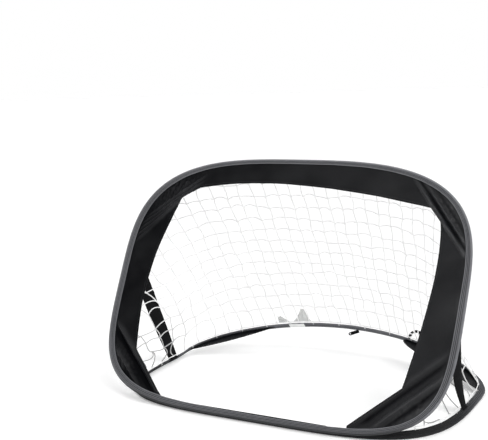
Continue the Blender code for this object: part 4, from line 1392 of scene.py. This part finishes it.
def label_flap(kind, outline, seed):
    """One end of the clear label, a thin film that stands up from the rail and fans out in pleats."""
    place, along, up, across = pivot_frame(f"{kind}_flap_flex")
    (left, right), (top_left, top_right), height = outline
    drop, side = np.meshgrid(np.linspace(0, 1, 26), np.linspace(0, 1, 30), indexing="ij")
    low = left + (right - left) * side
    high = top_left + (top_right - top_left) * side
    x = low + (high - low) * drop ** (0.65 + 0.3 * side)
    z = height * drop * (1 - 0.06 * np.sin(pi * side))
    pleat = 0.0024 * np.sin(side * 5 * pi + 0.6) * (0.35 + 0.65 * np.sin(pi * drop))
    crumple = 0.0012 * ripples(x, z, 0.016, seed)
    aside = 0.0012 + (pleat + crumple + 0.0014) * smooth_step(drop, 0.12, 0.6)
    middle = place + along * x[..., None] + up * z[..., None] + across * aside[..., None]
    half = across * FILM_HALF_THICKNESS
    builder = Builder()
    solid_sheet(builder, middle + half, middle - half, np.stack([x, z], axis=-1))
    made = builder.finish(f"label_{kind}_flap_film", FILM)
    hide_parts(f"care_label_{kind}_flap")
    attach(made, f"{kind}_flap")


def label_wrap(base):
    """The clear film tied round the back rail."""
    low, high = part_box("care_label_wrap")
    middle = base.distance_at(np.array([(low.x + high.x) / 2, high.y, high.z]))
    length = (high.x - low.x) * 0.97
    profile, _ = sleeve_profile()
    profile[:, 1] += np.sign(profile[:, 1]) * 0.0006
    profile[:, 0] -= 0.0004 * (profile[:, 0] < 0)
    distances = middle + np.linspace(-length / 2, length / 2, 40)
    spots = []
    for x, y in profile:
        crumple = 0.0004 * ripples(distances, np.full(40, x), 0.012, 41)
        spots.append(base.beside(distances, x, y) + base.directions(distances)[2] * crumple[:, None])
    sheet = np.array(spots).transpose(1, 0, 2)
    centre = base.beside(distances, 0.006, 0.0)[:, None]
    inner = sheet - unit(sheet - centre) * 0.0002
    uvs = np.stack(np.meshgrid(distances, np.arange(len(profile)) * 0.0006, indexing="ij"), axis=-1)
    builder = Builder()
    solid_sheet(builder, sheet, inner, uvs)
    made = builder.finish("label_wrap_film", DOUBLED_FILM)
    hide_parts("care_label_wrap")
    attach(made, "base")


def peg_loop():
    """A folded webbing tab whose far end holds the eyelet."""
    corners = node_corners("peg_loop")
    eyelet = node_corners("peg_loop_eyelet")
    place = pivot_frame("peg_loop_flex")[0]
    hole = eyelet.mean(axis=0)
    way = unit(hole - place)
    normal = unit(np.linalg.svd(eyelet - hole)[2][2])
    normal = normal * np.sign(normal[2])
    aside = np.cross(normal, way)
    far = ((corners - place) @ way).max()
    half = np.ptp((corners - place) @ aside) / 2 - 0.0002
    root, nose = -0.001, far - half
    turns = np.linspace(0, 2 * pi, 40, endpoint=False)
    x, y = np.cos(turns), np.sin(turns)
    reach = np.where(x > 0, nose + half * x, root + half * (1 + np.maximum(-1, 2 * x)))
    outline = np.stack([reach, half * y], axis=1)
    rim = PEG_HOLE_RADIUS * np.stack([x, y], axis=1) + ((hole - place) @ way, 0.0)
    shares = np.linspace(0, 1, 9)[:, None, None]
    flat = outline[None] * (1 - shares) + rim[None] * shares
    surface = place + way * flat[..., :1] + aside * flat[..., 1:]
    thick = 0.0008 * np.sqrt(np.clip(1 - (1 - np.minimum(1, shares * 5)) ** 2, 0.05, 1))
    top, bottom = surface + normal * thick, surface - normal * thick
    loop = np.concatenate([top, bottom[::-1]], axis=0)
    flat_loop = np.concatenate([flat, flat[::-1], flat[:1]], axis=0)
    flat_loop = np.concatenate([flat_loop, flat_loop[:, :1]], axis=1)
    builder = Builder()
    builder.add(loop, flat_loop, True, True)
    made = builder.finish("peg_loop_webbing", BLACK_WEBBING)
    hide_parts("peg_loop")
    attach(made, "peg_tab")


def storage_band():
    """A gathered elastic arch on the back rail, with a turn of net cord wound along it."""
    corners = node_corners("storage_band")
    high = corners.max(axis=0)
    ends = corners[np.argsort(corners[:, 0])]
    first, last = ends[:4].mean(axis=0), ends[-4:].mean(axis=0)
    middle, half = (first + last) / 2, (last - first) / 2
    rise = high[2] - middle[2] - 0.002
    share = np.linspace(0, 1, 90)
    turns = pi * (1 - share)
    centres = middle + half * np.cos(turns)[:, None] + SKYWARD * (rise * np.sin(turns))[:, None]
    way = unit(np.cross(last - first, SKYWARD))
    thickness = BAND_THICKNESS + BAND_GATHER_DEPTH * np.sin(share * 2 * pi * BAND_GATHERS)
    builder = Builder()
    ribbon(builder, centres, np.tile(way, (len(share), 1)), BAND_WIDTH, thickness, columns=11)
    made = builder.finish("storage_band_elastic", BLACK_WEBBING)
    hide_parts("storage_band")
    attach(made, "base")

    out = unit(half * np.cos(turns)[:, None] + SKYWARD * (rise * np.sin(turns))[:, None])
    wound = share * 2 * pi * BAND_CORD_TURNS
    lift, sway = BAND_COIL_HEIGHT * np.cos(wound), BAND_COIL_WIDTH * np.sin(wound)
    coil = centres + out * lift[:, None] + way * sway[:, None]
    cord = Builder()
    cord.tube(coil[6:-6], NET_CORD_RADIUS)
    made = cord.finish("storage_band_cord", NET_CORD)
    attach(made, "base")


def finish_cad_node(node, material):
    """A kept CAD node gets its finish, and shades smooth except at its sharp edges."""
    made = frame["nodes"][node]
    made.data.materials.clear()
    made.data.materials.append(material)
    made.data.shade_smooth()
    weld = made.modifiers.new("weld", "WELD")
    weld.merge_threshold = 0.00001
    split = made.modifiers.new("edges", "EDGE_SPLIT")
    split.split_angle = radians(40)


# ---------------------------------------------------------------- stage


def stage():
    bpy.ops.mesh.primitive_circle_add(vertices=96, radius=60.0, fill_type="NGON", location=(0, 0, 0))
    floor = bpy.context.object
    floor.name = "floor"
    floor.data.materials.append(pale_floor())
    bpy.context.scene.world = studio_world()
    sun("key_sun", (2.4, -1.2, 2.4), 1.6, 30)
    sun("back_sun", (-1.4, 2.2, 2.6), 0.9, 50)


def studio_world():
    """White at the horizon, softer overhead."""
    world = bpy.data.worlds.new("studio")
    world.use_nodes = True
    tree = world.node_tree
    place = tree.nodes.new("ShaderNodeTexCoord")
    split = tree.nodes.new("ShaderNodeSeparateXYZ")
    ramp = tree.nodes.new("ShaderNodeValToRGB")
    tree.links.new(place.outputs["Generated"], split.inputs[0])
    tree.links.new(split.outputs["Z"], ramp.inputs["Fac"])
    tree.links.new(ramp.outputs["Color"], tree.nodes["Background"].inputs["Color"])
    horizon, overhead = ramp.color_ramp.elements
    horizon.position, overhead.position = 0.1, 0.4
    horizon.color = (1.0, 1.0, 1.0, 1.0)
    overhead.color = (0.5, 0.5, 0.5, 1.0)
    return world


def sun(name, place, strength, spread):
    """A distant soft light from the direction of place."""
    data = bpy.data.lights.new(name, "SUN")
    data.energy = strength
    data.angle = radians(spread)
    made = bpy.data.objects.new(name, data)
    made.location = place
    made.rotation_euler = (-Vector(place)).to_track_quat("-Z", "Y").to_euler()
    bpy.context.scene.collection.objects.link(made)


def camera():
    """The photograph's viewing angle, for an image of 488 by 440."""
    level = Vector((cos(CAMERA_YAW), -sin(CAMERA_YAW), 0.0))
    ahead = Vector((sin(CAMERA_YAW), cos(CAMERA_YAW), 0.0))
    forward = ahead * cos(CAMERA_PITCH) - Vector(SKYWARD) * sin(CAMERA_PITCH)
    upright = level.cross(forward)
    right = level * cos(CAMERA_ROLL) + upright * sin(CAMERA_ROLL)
    up = upright * cos(CAMERA_ROLL) - level * sin(CAMERA_ROLL)
    data = bpy.data.cameras.new("camera")
    data.sensor_width = 36.0
    data.lens = CAMERA_LENS
    data.shift_x, data.shift_y = CAMERA_SHIFT
    data.clip_end = 200.0
    made = bpy.data.objects.new("camera", data)
    turn = Matrix((right, up, -forward)).transposed().to_4x4()
    made.matrix_world = Matrix.Translation(CAMERA_PLACE) @ turn
    bpy.context.scene.collection.objects.link(made)
    bpy.context.scene.camera = made


def main():
    bpy.context.scene.view_settings.view_transform = "Standard"
    front = Ring("front_ring_wire", UP_RING, OUT_OF_MOUTH, front_sleeve_turned, FRONT_SLEEVE_REACH)
    base = Ring("base_ring_wire", INTO_GOAL, SKYWARD, base_sleeve_turned, BASE_SLEEVE_REACH)
    sleeve(
        "front_sleeve", front, "front_ring_sleeve", "front_ring",
        GREY_TAPE, GREY_THREAD, 1, front_painted_shade,
    )
    sleeve(
        "base_sleeve", base, "base_ring_sleeve", "base",
        DARK_TAPE, BLACK_THREAD, 5, base_painted_shade,
    )
    border(front)
    head = Line(section_centres("net_head_cord", UP_RING))
    hem = Line(section_centres("net_hem_cord", INTO_GOAL))
    net(head, hem)
    edge_cord("net_head", "net_head_cord", head, "front_ring")
    edge_cord("net_hem", "net_hem_cord", hem, "base")
    ties("net_head_ties", front, head, "front_ring", (-1, -1), 0.005)
    ties("net_hem_ties", base, hem, "base", (1, -1), 0.0022)
    for side_name in SIDES:
        strap(side_name, base)
        gusset(side_name, base)
    seam_tape()
    label_wrap(base)
    label_flap("tall", TALL_FLAP, 51)
    label_flap("short", SHORT_FLAP, 52)
    peg_loop()
    storage_band()
    for node, material in (
        ("front_ring_wire", SPRING_STEEL),
        ("base_ring_wire", SPRING_STEEL),
        ("front_ring_ferrule", CRIMPED_STEEL),
        ("base_ring_ferrule", CRIMPED_STEEL),
        ("peg_loop_eyelet", EYELET_METAL),
    ):
        finish_cad_node(node, material)
    stage()
    camera()


main()
